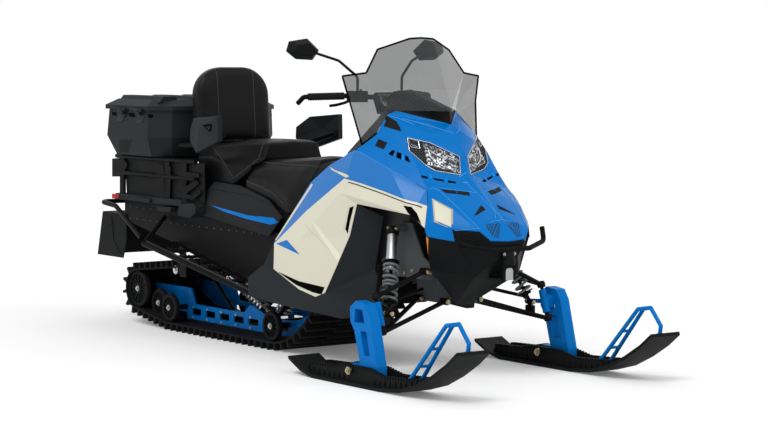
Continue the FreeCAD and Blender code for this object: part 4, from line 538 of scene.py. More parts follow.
def add_tube(shape, path, radius, sides=10, flat=1.0):
    """A tube along a path; flat below one squeezes its section."""
    places = frames_on(path)
    section = Matrix.Diagonal((1.0, flat, 1.0, 1.0))
    start = bmesh.ops.create_circle(shape, cap_ends=True, segments=sides, radius=radius,
                                    matrix=places[0] @ section)["verts"]
    edges = list({edge for vert in start for edge in vert.link_edges})
    for near, far in zip(places, places[1:]):
        grown = bmesh.ops.extrude_edge_only(shape, edges=edges)["geom"]
        verts = verts_in(grown)
        edges = [part for part in grown if isinstance(part, bmesh.types.BMEdge)
                 and part.verts[0] in verts and part.verts[1] in verts]
        bmesh.ops.transform(shape, matrix=far @ near.inverted(), verts=verts)
    bmesh.ops.contextual_create(shape, geom=edges)


def add_slab(shape, points, way):
    """A slab through points in space, as thick as its way is long."""
    face = shape.faces.new([shape.verts.new(point) for point in points])
    grown = bmesh.ops.extrude_face_region(shape, geom=[face])["geom"]
    bmesh.ops.translate(shape, verts=verts_in(grown), vec=way)


def add_plate(shape, outline, thick, place):
    """A flat plate of an outline of (x, y), as thick as said along the place's Z."""
    add_slab(shape, [place @ Vector((x, y, 0.0)) for x, y in outline],
             place.to_3x3() @ Vector((0, 0, thick)))


# %% [markdown]
# ## Where a pixel of the photograph lies
# Slots, meshes and inlays are easiest to place by where the photograph shows them. A ray from the
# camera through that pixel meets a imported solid, and the detail is draped over the solid there, so it
# sits on its panel from every side.

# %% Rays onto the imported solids
photo_wide = 768
photo_middle = (384.0, 216.0)
nearest_cm, furthest_cm = 780, 1150
touch = 0.03
trees = {}


def tree_from(mesh):
    """A search tree of a mesh's faces."""
    return BVHTree.FromPolygons([vert.co for vert in mesh.vertices],
                                [face.vertices for face in mesh.polygons])


def tree_of(node):
    """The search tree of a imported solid, made when it is first needed."""
    if node not in trees:
        trees[node] = tree_from(nodes[node].data)
    return trees[node]


def surface(node, start, way):
    """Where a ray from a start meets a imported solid, and the normal there."""
    return tree_of(node).ray_cast(Vector(start), Vector(way))[:2]


def ray_at(u, v):
    """The way from the camera through a pixel of the photograph."""
    reach = camera_data.sensor_width / camera_data.lens / photo_wide
    return (rolled_level * ((u - photo_middle[0]) * reach)
            + rolled_upright * ((photo_middle[1] - v) * reach) - away).normalized()


def point_at(tree, u, v):
    """The surface point at a pixel, and its normal turned to the camera."""
    way = ray_at(u, v)
    hit, normal, _, _ = tree.ray_cast(camera_place, way)
    if hit is None:
        near = [camera_place + way * (step / 100) for step in range(nearest_cm, furthest_cm)]
        hit, normal, _, _ = min((tree.find_nearest(spot) for spot in near), key=lambda found: found[3])
    return hit, normal if normal.dot(way) < 0 else -normal


def point_beside(y, u, v):
    """The point at a pixel on an upright plane along the machine."""
    way = ray_at(u, v)
    return camera_place + way * ((y - camera_place.y) / way.y)


def add_draped(shape, tree, corners, lift=0.0008, sink=0.0015, cuts=2):
    """A thin plate over a surface, through corners given as pixels."""
    spots = [point_at(tree, u, v) for u, v in corners]
    ring = [shape.verts.new(spot) for spot, _ in spots]
    face = shape.faces.new(ring)
    inner = bmesh.ops.poke(shape, faces=[face])
    edges = list({edge for part in inner["faces"] for edge in part.edges})
    parts = set(inner["faces"])
    if cuts:
        made = bmesh.ops.subdivide_edges(shape, edges=edges, cuts=cuts, use_grid_fill=True)
        parts |= {part for part in made["geom"] if isinstance(part, bmesh.types.BMFace)}
    parts = [part for part in parts if part.is_valid]
    verts = {vert for part in parts for vert in part.verts}
    middle = sum((normal for _, normal in spots), Vector()).normalized()
    for vert in verts:
        way = (vert.co - camera_place).normalized()
        hit, normal, _, _ = tree.ray_cast(camera_place, way)
        if hit is not None and (hit - vert.co).length < touch:
            vert.co = hit
        vert.co -= middle * sink
    grown = bmesh.ops.extrude_face_region(shape, geom=parts)["geom"]
    bmesh.ops.translate(shape, verts=verts_in(grown), vec=middle * (sink + lift))


def inlay(name, node, polygons, slot, material=None, lift=0.0008, bevel=0.0, **ways):
    """Plates draped on a panel on both sides of the machine, as one piece."""
    shape = bmesh.new()
    for corners in polygons:
        add_draped(shape, tree_of(node), corners, lift, **ways)
    piece(name, shape, nodes[node]["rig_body"], slot, material, bevel=bevel, angle=40.0, mirrored=True)


def add_bolt(shape, spot, normal, radius, tall=None):
    """A hexagon head on its washer."""
    tall = tall or radius * 0.7
    add_rod(shape, spot - normal * radius * 0.3, spot + normal * tall * 0.35, radius * 1.25, sides=20)
    add_rod(shape, spot, spot + normal * tall, radius, radius * 0.92, sides=6)
    add_rod(shape, spot + normal * tall, spot + normal * (tall + radius * 0.35), radius * 0.45, sides=12)


# %% [markdown]
# ## Track and running gear
# The wheels have a rubber tyre pressed on a ribbed disc, with a steel bolt and washer in the middle.

# %% Idler wheels
wheel_wide = 0.026
tyre_thick = 0.013
rim_thick = 0.006
axle_r = 0.012
hub_share = 0.30
rib_thick = 0.0045
outer_y = 0.228
inner_y = 0.197
middle_y = 0.065
idler_r = 0.0707
arm_y = 0.125


def add_wheel(shape, centre, radius, wide, ribs=12):
    """The ribbed disc of an idler wheel, with its axle across the machine."""
    place = Matrix.Translation(centre) @ quarter["X"]
    rim = radius - tyre_thick
    web = rim - rim_thick
    hub = radius * hub_share
    half = wide / 2
    add_turned(shape, [(web, -half), (rim, -half), (rim, half), (web, half)], place, 40)
    add_turned(shape, [(axle_r, -half * 0.35), (web, -half * 0.25), (web, half * 0.25),
                       (axle_r, half * 0.35)], place, 40)
    add_turned(shape, [(0.010, -half), (hub, -half), (radius * 0.34, 0.0), (hub, half), (0.010, half)],
               place, 24)
    for number in range(ribs):
        turn = Matrix.Rotation(2 * math.pi * number / ribs, 4, "Z")
        shift = Matrix.Translation((hub + (web - hub) / 2, 0, 0))
        size = Matrix.Diagonal((web - hub, rib_thick, wide * 0.80, 1.0))
        bmesh.ops.create_cube(shape, size=1.0, matrix=place @ turn @ shift @ size)


def add_tyre(shape, centre, radius, wide):
    """A wheel's rubber tyre, with its outer edges cut back."""
    half = wide / 2
    edge = 0.004
    bed = radius - tyre_thick
    add_turned(shape, [(bed, -half), (radius - edge, -half), (radius, -half + edge),
                       (radius, half - edge), (radius - edge, half), (bed, half)],
               Matrix.Translation(centre) @ quarter["X"], 48)


low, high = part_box("rear_idlers")
rear_r = (high[2] - low[2]) / 2
rear_centre = Vector(((low[0] + high[0]) / 2, 0.0, (low[2] + high[2]) / 2))
idler_places = ((-1.200, inner_y, 0.1198), (-1.049, outer_y, 0.111), (-0.138, outer_y, 0.111))
wheel_places = [(rear_centre + Vector((0, y, 0)), rear_r) for y in (-outer_y, -middle_y, middle_y, outer_y)]
wheel_places += [(Vector((x, side * y, z)), idler_r) for x, y, z in idler_places for side in (-1, 1)]
discs = bmesh.new()
tyres = bmesh.new()
caps = bmesh.new()
for centre, radius in wheel_places:
    add_wheel(discs, centre, radius, wheel_wide)
    add_tyre(tyres, centre, radius, wheel_wide)
    if abs(centre.y) > middle_y:
        outward = Vector((0, math.copysign(1.0, centre.y), 0))
        add_bolt(caps, centre + outward * wheel_wide / 2, outward, 0.011)
        add_rod(discs, centre, centre - outward * (abs(centre.y) - arm_y), axle_r)
half_axle = Vector((0, outer_y, 0))
add_rod(discs, rear_centre - half_axle, rear_centre + half_axle, axle_r)
piece("idler_wheels", discs, "chassis", "black_plastic", stands_for=["lower_idlers", "rear_idlers"],
      bevel=0.0007)
piece("idler_tyres", tyres, "chassis", "track_rubber")
piece("idler_bolts", caps, "chassis", "bare_metal")
print("wheels", len(wheel_places))

# %% Rail bolts
rail_bolts = bmesh.new()
for x in (-0.99, -0.86, -0.73, -0.60, -0.47, -0.34, -0.21, -0.05):
    for z in (0.062, 0.112):
        add_bolt(rail_bolts, Vector((x, 0.135, z)), Vector((0, 1, 0)), 0.0050)
piece("rail_bolts", rail_bolts, "chassis", "bare_metal", mirrored=True)

# %% [markdown]
# ## Front suspension
# The shock has a bright body above, a dark collar, and a wound spring over its rod below. The spring
# is a real helix with closed end turns.

# %% Shocks
shock_top = at(845, 268, 636)
shock_low = at(985, 392, 290)
shock_way = (shock_low - shock_top).normalized()
shock_long = (shock_low - shock_top).length
shock_turn = Matrix.Translation(shock_top) @ shock_way.to_track_quat("Z", "Y").to_matrix().to_4x4()
shock_r = 0.0235
wire_r = 0.0058
coil_r = 0.0300
coil_start = shock_long * 0.44
coil_long = shock_long * 0.43
coil_turns = 7.0
turn_steps = 20


def helix():
    """Points down the spring, closer together in its first and last turn."""
    points = []
    steps = int(coil_turns * turn_steps)
    for step in range(steps + 1):
        share = step / steps
        eased = share - 0.035 * math.sin(4 * math.pi * share)
        angle = 2 * math.pi * coil_turns * share
        points.append(shock_turn @ Vector((coil_r * math.cos(angle), coil_r * math.sin(angle),
                                           coil_start + coil_long * eased)))
    return points


coils = bmesh.new()
add_tube(coils, helix(), wire_r, 8)
piece("front_springs", coils, "chassis", "spring_steel", finish["spring_grey"], stands_for=["front_shocks"],
      mirrored=True)

bodies = bmesh.new()
add_turned(bodies, [(0.0, 0.030), (shock_r - 0.002, 0.030), (shock_r, 0.034), (shock_r, shock_long * 0.40),
                    (shock_r - 0.003, shock_long * 0.405), (shock_r - 0.003, shock_long * 0.50),
                    (0.0, shock_long * 0.50)], shock_turn, 32)
piece("shock_bodies", bodies, "chassis", "bare_metal", finish["shock_grey"], mirrored=True)

collars = bmesh.new()
for start, end, radius in ((0.014, 0.032, 0.0265), (shock_long * 0.395, shock_long * 0.412, 0.0355),
                           (shock_long * 0.412, shock_long * 0.430, 0.0300),
                           (shock_long * 0.870, shock_long * 0.885, 0.0355),
                           (shock_long * 0.885, shock_long * 0.910, 0.0240)):
    add_turned(collars, [(0.008, start), (radius, start), (radius + 0.0012, (start + end) / 2),
                         (radius, end), (0.008, end)], shock_turn, 32)
add_rod(collars, shock_top + shock_way * (shock_long * 0.5), shock_low, 0.008)
for centre in (shock_top, shock_low):
    add_turned(collars, [(0.006, -0.012), (0.0125, -0.012), (0.0135, 0.0), (0.0125, 0.012),
                         (0.006, 0.012)], Matrix.Translation(centre) @ quarter["Y"], 24)
piece("shock_collars", collars, "chassis", "black_paint", bevel=0.0006, mirrored=True)

shock_bolts = bmesh.new()
for centre, half in ((shock_top, 0.030), (shock_low, 0.024)):
    for side in (-1, 1):
        add_bolt(shock_bolts, centre + Vector((side * half, 0, 0)), Vector((side, 0, 0)), 0.0075)
    add_rod(shock_bolts, centre - Vector((half, 0, 0)), centre + Vector((half, 0, 0)), 0.005)
piece("shock_bolts", shock_bolts, "chassis", "bare_metal", finish["gilt_zinc"], mirrored=True)

# %% Bolts of the wishbones and caps of the kingpins
wishbone_half = 22
joints = bmesh.new()
for x, y, z in ((1015, 225, 462), (712, 225, 462), (985, 92, 322), (800, 92, 322)):
    for side in (-1, 1):
        add_bolt(joints, at(x + side * wishbone_half, y, z), Vector((side, 0, 0)), 0.0085)
piece("wishbone_bolts", joints, "chassis", "bare_metal", finish["gilt_zinc"], mirrored=True)

boots = bmesh.new()
king_way = Vector((-0.31623, 0.0, 0.94868))
for foot, tall in ((at(985, 458, 352), 0.030), (at(1025, 458, 232), -0.030)):
    place = Matrix.Translation(foot) @ king_way.to_track_quat("Z", "Y").to_matrix().to_4x4()
    add_turned(boots, [(0.0, tall * 0.9), (0.012, tall * 0.92), (0.0175, tall * 0.70), (0.0195, tall * 0.4),
                       (0.0175, tall * 0.1), (0.0, tall * 0.1)], place, 24)
piece("kingpin_caps", boots, "chassis", "black_plastic", mirrored=True)
print("front suspension dressed")

# %% [markdown]
# ## Skis
# A ski is a moulded channel: ribs run across it between two toothed walls, a steel runner lies under
# its keel, and a large bolt goes through both walls and the spindle's foot.

# %% Ski ribs, teeth, runner and bolt
ski_bolt_x = 0.967
ski_y = 0.520
wall_y = 0.046
rib_start, rib_gap, rib_count = 0.660, 0.036, 22
foot_gap = 0.10
tooth_start, tooth_gap, tooth_count = 0.640, 0.0185, 46
tooth_low, tooth_high = 0.045, 0.12
runner_r = 0.0050
down = (0, 0, -1)


def ski_height(x):
    """Height of the ski's top face at a place along it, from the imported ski."""
    return surface("ski_left", (x, ski_y + 0.075, 0.5), down)[0].z


for side, body in ((1, "ski_left"), (-1, "ski_right")):
    middle = Vector((0, side * ski_y, 0))
    ribs = bmesh.new()
    for number in range(rib_count):
        x = rib_start + number * rib_gap
        if abs(x - ski_bolt_x - 0.05) >= foot_gap:
            add_box(ribs, middle + Vector((x, 0, ski_height(x) + 0.010)), (0.009, wall_y * 2 + 0.022, 0.030))
    for number in range(tooth_count):
        x = tooth_start + number * tooth_gap
        for wall in (-1, 1):
            spot = middle + Vector((x, wall * wall_y, 0))
            hit, _ = surface(body, spot + Vector((0, 0, 0.5)), down)
            if hit is not None and tooth_low < hit.z < tooth_high:
                add_box(ribs, Vector((x, spot.y, hit.z + 0.004)), (0.0105, 0.016, 0.016))
    piece(body + "_ribs", ribs, body, "black_plastic", bevel=0.0009)
    steel = bmesh.new()
    runner = []
    for x in (0.76, 0.80, 0.88, 0.95, 1.02, 1.10, 1.16, 1.22, 1.28):
        keel, _ = surface(body, (x, side * ski_y, -0.1), (0, 0, 1))
        runner.append(keel + Vector((0, 0, runner_r - 0.0008)))
    add_tube(steel, runner, runner_r, 8)
    for wall in (-1, 1):
        outward = Vector((0, wall, 0))
        add_bolt(steel, middle + Vector((ski_bolt_x, 0, 0.060)) + outward * 0.0675, outward, 0.0135)
    piece(body + "_steel", steel, body, "bare_metal", finish["gilt_zinc"])
    feet = bmesh.new()
    for foot in (-1, 1):
        add_box(feet, middle + Vector((1.326, foot * 0.034, ski_height(1.33) + 0.012)),
                (0.050, 0.024, 0.022))
    add_box(feet, middle + Vector((1.672, 0, 0.198)), (0.030, 0.040, 0.022),
            Matrix.Rotation(math.radians(-38), 4, "Y"))
    piece(body + "_handle_feet", feet, body, "blue_paint", bevel=0.003)
print("skis dressed")

# %% [markdown]
# ## Cowl paint
# The side panels are cream with a blue upper edge. The border is a roof line of four straight runs and
# a drop at its front end, so the mask is the lowest of those lines, read from the place's x and z.
# Below it run a thin black pinstripe and a faint crease, drawn as a darker line: painted shade.

# %% Roof line on the side panels
def line_through(x, first, second):
    """The height at x of the line through two places (x, z) in millimetres."""
    slope = (second[1] - first[1]) / (second[0] - first[0])
    return x * slope + (first[1] - slope * first[0]) * MM


pinstripe = (0.0085, 0.0135)
crease_shade_half = 0.0015
panel_paint = Paint("side_panel_paint", cream, 0.32, specular_ior_level=0.14, coat_weight=0.10,
                    coat_roughness=0.08)
along_x, _, up_z = panel_paint.axes()
roof = [(58, 532), (325, 687), (620, 843), (841, 797), (1071, 743), (1109, 656)]
ridge = line_through(along_x, roof[0], roof[1])
for first, second in zip(roof[1:], roof[2:]):
    ridge = ridge.lower(line_through(along_x, first, second))
below = ridge - up_z
painted_blue = panel_paint.mixed(below < 0.0, cream, blue)
stripe = (below > pinstripe[0]) * (below < pinstripe[1]) * (along_x > 0.640) * (along_x < 1.045)
# The crease is a darker line of cream: painted shade in the pressed crease.
crease_shade_gap = line_through(along_x, (261, 665), (570, 474)) - up_z
line = (crease_shade_gap > -crease_shade_half) * (crease_shade_gap < crease_shade_half) * (below > 0.06)
painted = panel_paint.mixed(stripe, painted_blue, near_black)
painted = panel_paint.mixed(line, painted, shade(cream, 0.62))
drift = panel_paint.noise(1.6, 2.0) * 0.10
panel_paint.set("Base Color", panel_paint.mixed(drift, painted, (0.5, 0.5, 0.5)))
panel_paint.set("Roughness", panel_paint.noise(14.0) * 0.08 + 0.26)
panel_paint.bump(panel_paint.noise(220.0, 2.0), 0.05, 0.0004)
for side in ("left", "right"):
    skins["side_panel_" + side].data.materials[0] = panel_paint.material

# %% [markdown]
# ## Inlays on the cowl
# The vents, meshes and panels of the cowl are shallow parts let into it. A mesh is a black plate with
# holes drawn by its material, because its real cells are smaller than three millimetres.

# %% Meshes and slots
bar_grey = (0.022, 0.024, 0.026)
hole_black = (0.001, 0.001, 0.001)
mesh_paint = Paint("mesh_black", (0.02, 0.02, 0.02), 0.6, specular_ior_level=0.04)
holes = mesh_paint.cells(230.0) > 0.16
mesh_paint.set("Base Color", mesh_paint.mixed(holes, bar_grey, hole_black))
mesh_paint.bump(holes, 0.9, 0.0012)
slot_paint = Paint("slot_black", (0.0016, 0.0016, 0.0017), 0.8, specular_ior_level=0.02)
slot_paint.set("Roughness", slot_paint.noise(40.0) * 0.2 + 0.7)
slot_black = slot_paint.material
inlay("cowl_meshes", "hood", [
    [(440.0, 189.3), (468.8, 192.0), (470.2, 195.8), (446.0, 193.0)],
    [(473.6, 216.8), (485.8, 209.6), (481.0, 205.2)],
], "black_plastic", mesh_paint.material, lift=0.0009)
grille = Paint("nose_grille", blue, 0.4, specular_ior_level=0.14)
across_y, along_z = grille.axes()[1:]
weave, weft = (grille.add("ShaderNodeMath", {"operation": "SINE"}, {0: phase}) for phase in (
    (across_y + along_z * 0.6) * 520.0, (across_y - along_z * 1.1) * 430.0))
holes = (weave > -0.25) * (weft > -0.35)
grille.set("Base Color", grille.mixed(holes, shade(blue, 0.8), hole_black))
inlay("nose_grilles", "hood", [
    [(484.2, 224.4), (499.6, 223.0), (500.0, 230.0), (499.2, 238.0), (493.6, 237.6)],
], "blue_cowl", grille.material, lift=0.0009)
inlay("cowl_slots", "hood", [
    [(420.7, 175.4), (427.4, 176.6), (428.0, 178.6), (422.3, 177.8)],
    [(433.0, 178.0), (443.8, 179.9), (443.6, 181.6), (434.4, 179.9)],
    [(448.1, 180.4), (456.2, 182.0), (455.8, 183.4), (447.8, 182.6)],
    [(388.4, 154.0), (392.2, 150.1), (395.0, 150.8), (392.6, 156.1)],
    [(396.4, 157.5), (396.8, 151.9), (401.5, 153.3), (401.3, 159.4)],
    [(405.4, 160.5), (404.7, 155.2), (408.1, 156.8), (410.6, 162.7)],
], "black_plastic", slot_black)
inlay("cowl_slot_bars", "hood", [
    [(402.6, 154.4), (403.8, 154.7), (403.7, 160.4), (402.5, 160.0)],
    [(429.0, 174.6), (430.8, 174.9), (432.0, 179.0), (430.3, 178.7)],
    [(445.4, 178.6), (446.7, 178.8), (447.0, 182.0), (445.6, 181.7)],
], "blue_cowl", glossy("blue_highlight", shade(blue, 1.7), 0.2), lift=0.0022)
inlay("neck_patches", "hood", [
    [(378.5, 139.0), (387.5, 142.8), (383.5, 149.5), (375.0, 146.0)],
    [(380.5, 118.0), (386.5, 115.6), (396.5, 121.4), (400.2, 127.5), (401.2, 131.4), (392.0, 128.8),
     (381.0, 125.4)],
], "black_plastic", grained("patch_brown", (0.012, 0.0115, 0.011)))

# %% Gem panels at the front corners
gem = [(432.2, 198.4), (452.9, 209.4), (453.1, 229.9), (434.2, 221.9)]
gem_u, gem_v = 442.0, 213.8
gem_share = 0.84
gem_face = [(gem_u + (u - gem_u) * gem_share, gem_v + (v - gem_v) * gem_share) for u, v in gem]
# The ring round each gem panel is a darker cream: painted shade on its bevel.
shaded_cream_edge = glossy("shaded_cream_edge", shade(cream, 0.66), 0.3)
inlay("gem_edges", "hood", [gem], "cream_cowl", shaded_cream_edge, lift=0.0008)
inlay("gem_panels", "hood", [gem_face], "cream_cowl", lift=0.0034, bevel=0.0016)

# %% Accents of the side panels
inlay("panel_accents", "side_panel_right", [
    [(403.2, 205.6), (411.5, 207.0), (416.9, 213.2), (421.6, 224.6), (413.0, 217.4), (408.2, 213.4)],
], "black_plastic", slot_black, lift=0.0008, cuts=5)

# %% [markdown]
# ## Headlamps
# Each lamp is a dark bowl with a square projector at its rear end and a reflector of many small
# facets, under one clear cover. The facets are coloured dark and bright at random: painted reflections
# and glints. A thin bright bezel follows the cover's edge.

# %% Lamp bowl, bezel and cover
lamp_corners = [at(x, -y, z) for x, y, z in (
    (843, 195, 1027), (915, 125, 1006), (994, 20, 946), (1010, 26, 866), (969, 135, 885),
    (947, 175, 912), (881, 212, 971))]
lamp_middle = sum(lamp_corners, Vector()) / len(lamp_corners)
lamp_normal = (lamp_corners[2] - lamp_corners[6]).cross(lamp_corners[3] - lamp_corners[0]).normalized()
lamp_normal *= math.copysign(1.0, lamp_normal.dot(away))
rim_depth = 0.002
bowl_share = 0.90
bowl_depth = 0.019
bezel_share = 0.975
bezel_r = 0.0011


def lamp_spot(u, v, depth):
    """A place in the lamp behind a pixel, the depth behind the cover."""
    hit, _ = point_at(tree_of("headlamps"), u, v)
    return hit + ray_at(u, v) * depth


bowl = bmesh.new()
outer = [bowl.verts.new(corner - lamp_normal * rim_depth) for corner in lamp_corners]
inner = [bowl.verts.new(lamp_middle + (corner - lamp_middle) * bowl_share - lamp_normal * bowl_depth)
         for corner in lamp_corners]
for index in range(len(outer)):
    following = (index + 1) % len(outer)
    bowl.faces.new((outer[index], outer[following], inner[following], inner[index]))
bowl.faces.new(inner)
bmesh.ops.solidify(bowl, geom=bowl.faces[:], thickness=0.0015)
piece("lamp_bowls", bowl, "chassis", "black_plastic", slot_black, stands_for=["headlamps"], smooth=20.0,
      mirrored=True)

bezel = bmesh.new()
ring_path = [lamp_middle + (corner - lamp_middle) * bezel_share for corner in lamp_corners]
for start, end in zip(ring_path, ring_path[1:] + ring_path[:1]):
    add_rod(bezel, start, end, bezel_r, sides=8)
piece("lamp_bezels", bezel, "chassis", "bare_metal", chrome, mirrored=True)

cover = bmesh.new()
rim = [cover.verts.new(corner) for corner in lamp_corners]
hub = cover.verts.new(lamp_corners[1] + (lamp_corners[4] - lamp_corners[1]) * 0.45 + lamp_normal * 0.003)
for index in range(len(rim)):
    cover.faces.new((rim[index], rim[(index + 1) % len(rim)], hub))
piece("lamp_covers", cover, "chassis", "clear_lens", smooth=60.0, mirrored=True)

# %% Reflector and projector
# Each facet is dark or bright by its cell: painted reflections and glints, not the chrome's own colour.
glint = Paint("reflector", (0.4, 0.4, 0.4), 0.12, metallic=1.0)
facet = glint.add("ShaderNodeTexVoronoi", {"feature": "F1"},
                  {"Vector": glint.place(), "Scale": 130.0}, output=1)
sparkle = glint.add("ShaderNodeSeparateColor", sockets={0: facet})
bright = sparkle * sparkle * sparkle
glint.set("Base Color", glint.mixed(bright, (0.012, 0.012, 0.013), (0.88, 0.90, 0.92)))
glint.set("Roughness", glint.noise(60.0) * 0.2 + 0.05)

top_left, top_right = (422.6, 142.6), (457.6, 156.0)
low_left, low_right = (427.6, 164.6), (461.2, 174.0)
across_count = 14
down_count = 8


def between(s, t):
    """The pixel at shares across and down the lamp's face."""
    return [(top_left[axis] * (1 - s) + top_right[axis] * s) * (1 - t)
            + (low_left[axis] * (1 - s) + low_right[axis] * s) * t for axis in (0, 1)]


reflector = bmesh.new()
grid = []
for row in range(down_count + 1):
    t = row / down_count
    line = []
    for column in range(across_count + 1):
        s = column / across_count
        hollow = 0.006 + 0.007 * math.sin(math.pi * s) * math.sin(math.pi * t)
        rough = 0.0022 * math.sin(7.3 * row + 4.1 * column) * math.cos(3.7 * column - 2.2 * row)
        line.append(reflector.verts.new(lamp_spot(*between(s, t), hollow + rough)))
    grid.append(line)
for above, under in zip(grid, grid[1:]):
    for corners in zip(above, above[1:], under[1:], under):
        reflector.faces.new(corners)
piece("lamp_reflectors", reflector, "chassis", "bare_metal", glint.material, smooth=4.0, mirrored=True)

frames = bmesh.new()
for corners, depth, radius in (
        ([(408.0, 137.8), (418.3, 141.4), (419.8, 148.4), (410.8, 146.8), (408.0, 137.8)], 0.003, 0.0011),
        ([(411.0, 144.2), (417.6, 147.0)], 0.006, 0.0016),
        ([(428.3, 150.0), (430.4, 157.0), (435.0, 162.6), (443.2, 166.4)], 0.0045, 0.0024),
        ([(429.0, 149.6), (433.5, 153.4), (439.6, 156.2)], 0.0045, 0.0014),
        ([(447.6, 155.8), (454.6, 159.0)], 0.0030, 0.0034)):
    spots = [lamp_spot(u, v, depth) for u, v in corners]
    for start, end in zip(spots, spots[1:]):
        add_rod(frames, start, end, radius, sides=8)
piece("lamp_frames", frames, "chassis", "bare_metal", chrome, mirrored=True)
print("headlamps fitted")

# %% [markdown]
# ## Screen
# The screen is smoked sheet with a black rubber line all round its free edge.

# %% Screen edge
edge_path = [at(x, -y, z) for x, y, z in (
    (716, 260, 1041), (687, 319, 991), (639, 350, 1172), (622, 379, 1287), (651, 272, 1301),
    (634, 199, 1403), (689, 66, 1451), (686, 0, 1455))]
edge = bmesh.new()
for start, end in zip(edge_path, edge_path[1:]):
    add_rod(edge, start, end, 0.0042, sides=8)
piece("screen_edge", edge, "chassis", "black_plastic", slot_black, mirrored=True)

# %% [markdown]
# ## Nose
# Under the blue nose sit black vent slats, the tow hook's bright bracket, and an amber strip on each
# edge of the suspension well.

# %% Vent slats, amber strips and tow bracket
inlay("vent_slats", "nose_panel", [
    [(461.0, 236.2), (478.0, 240.6), (478.0, 241.8), (460.6, 237.8)],
    [(461.6, 238.8), (480.0, 243.4), (479.6, 244.8), (461.8, 240.6)],
    [(463.0, 241.6), (478.6, 245.4), (478.2, 246.8), (464.0, 243.4)],
], "black_plastic", glossy("slat_black", near_black, 0.2), lift=0.005, bevel=0.0008)
inlay("amber_strips", "nose_panel", [
    [(421.4, 229.0), (428.6, 238.6), (428.2, 246.0), (427.0, 254.6), (424.4, 254.6), (424.6, 243.0)],
], "amber_lens", lift=0.0012)

bracket = bmesh.new()
add_plate(bracket, [(-0.020, -0.016), (0.020, -0.016), (0.020, 0.026), (0.012, 0.036), (-0.012, 0.036),
                    (-0.020, 0.026)], 0.004,
          Matrix.Translation(at(1304, 0, 452)) @ quarter["Y"] @ quarter["Z"])
for y in (-27, 27):
    add_bolt(bracket, at(1306.5, y, 548), Vector((1, 0, 0)), 0.0065)
piece("tow_bracket", bracket, "chassis", "bare_metal", finish["shock_grey"], bevel=0.0008)

socket = bmesh.new()
add_turned(socket, [(0.0, 0.0), (0.030, 0.0), (0.033, 0.012), (0.026, 0.060), (0.0, 0.064)],
           Matrix.Translation(at(1296, 0, 500)), 12)
piece("tow_socket", socket, "chassis", "black_plastic", bevel=0.002)

# %% Bolts on the front frame
frame_bolts = bmesh.new()
for u, v in ((404.5, 273.0), (412.2, 270.6), (416.2, 275.8), (431.2, 273.2)):
    spot, normal = point_at(tree_of("front_frame"), u, v)
    add_bolt(frame_bolts, spot, normal, 0.0055)
piece("frame_bolts", frame_bolts, "chassis", "bare_metal", finish["gilt_zinc"], mirrored=True)
print("nose dressed")

# %% [markdown]
# ## Creases and beads
# Pressed creases catch a thin line of light. Each is a low rounded bead that follows its panel, half
# sunk in it, through places read from the photograph. The beads are a lighter blue than the cowl, a
# painted highlight along each crease.

# %% Beads along panel edges
def bead(name, node, paths, radius, slot, material=None):
    """Low beads along lines of pixels on a panel, on both sides of the machine."""
    step_pixels = 2.5
    shortest = 0.002
    shape = bmesh.new()
    for corners in paths:
        spots = []
        for (u, v), (next_u, next_v) in zip(corners, corners[1:]):
            steps = max(1, int(math.hypot(next_u - u, next_v - v) / step_pixels))
            for step in range(steps):
                share = step / steps
                spots.append(point_at(tree_of(node), u + (next_u - u) * share, v + (next_v - v) * share))
        spots.append(point_at(tree_of(node), *corners[-1]))
        points = [hit + normal * radius * 0.1 for hit, normal in spots]
        kept = points[:1] + [after for before, after in zip(points, points[1:])
                             if (after - before).length > shortest]
        add_tube(shape, kept, radius, 8)
    piece(name, shape, nodes[node]["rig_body"], slot, material, mirrored=True)


bead("cowl_creases", "hood", [
    [(388.0, 115.6), (397.5, 117.9), (413.0, 124.0)],
    [(402.0, 118.4), (427.0, 125.0), (453.0, 133.2)],
    [(430.2, 189.6), (432.4, 187.6), (439.7, 190.9), (459.0, 208.8), (478.2, 227.6)],
    [(454.4, 230.6), (461.4, 230.0), (480.0, 228.4)],
    [(465.4, 182.0), (480.0, 196.0), (494.8, 211.4), (495.6, 219.0)],
    [(440.2, 188.2), (475.5, 192.6)],
    [(499.8, 219.6), (512.0, 221.4)],
], 0.0017, "blue_cowl", finish["blue_edge"])
# The ridge caps take the same lighter blue: painted highlights on the nose ridge.
bead("cowl_ridge_caps", "hood", [
    [(458.8, 177.6), (466.4, 172.4)], [(462.6, 182.6), (467.6, 183.0)],
], 0.0030, "blue_cowl", finish["blue_edge"])
# The side panel creases get the same painted highlight.
bead("panel_creases_right", "side_panel_right", [
    [(345.0, 153.5), (362.0, 150.6), (380.0, 159.4), (400.0, 168.6), (419.5, 177.4)],
    [(345.0, 165.0), (333.5, 176.0)],
], 0.0017, "blue_cowl", finish["blue_edge"])

# %% Colour fields of the side panels
inlay("panel_flash", "side_panel_right", [
    [(276.4, 243.6), (287.0, 240.0), (299.5, 254.4)],
], "blue_cowl", finish["blue_cowl"], lift=0.0016, cuts=5)
inlay("panel_cream_rims", "side_panel_right", [
    [(275.0, 239.8), (276.6, 240.2), (295.6, 211.6), (313.0, 184.8), (311.6, 183.8), (294.1, 210.6)],
    [(330.0, 166.4), (332.0, 168.8), (347.0, 174.4), (349.4, 176.6), (346.0, 177.6), (331.4, 169.6)],
], "cream_cowl", finish["cream_cowl"], lift=0.0012, cuts=5)
inlay("panel_low_black", "side_panel_right", [
    [(278.5, 272.0), (299.0, 281.2), (324.6, 287.3), (321.6, 294.4), (312.9, 292.2), (295.9, 284.6)],
], "black_plastic", slot_black, lift=0.0014, cuts=5)
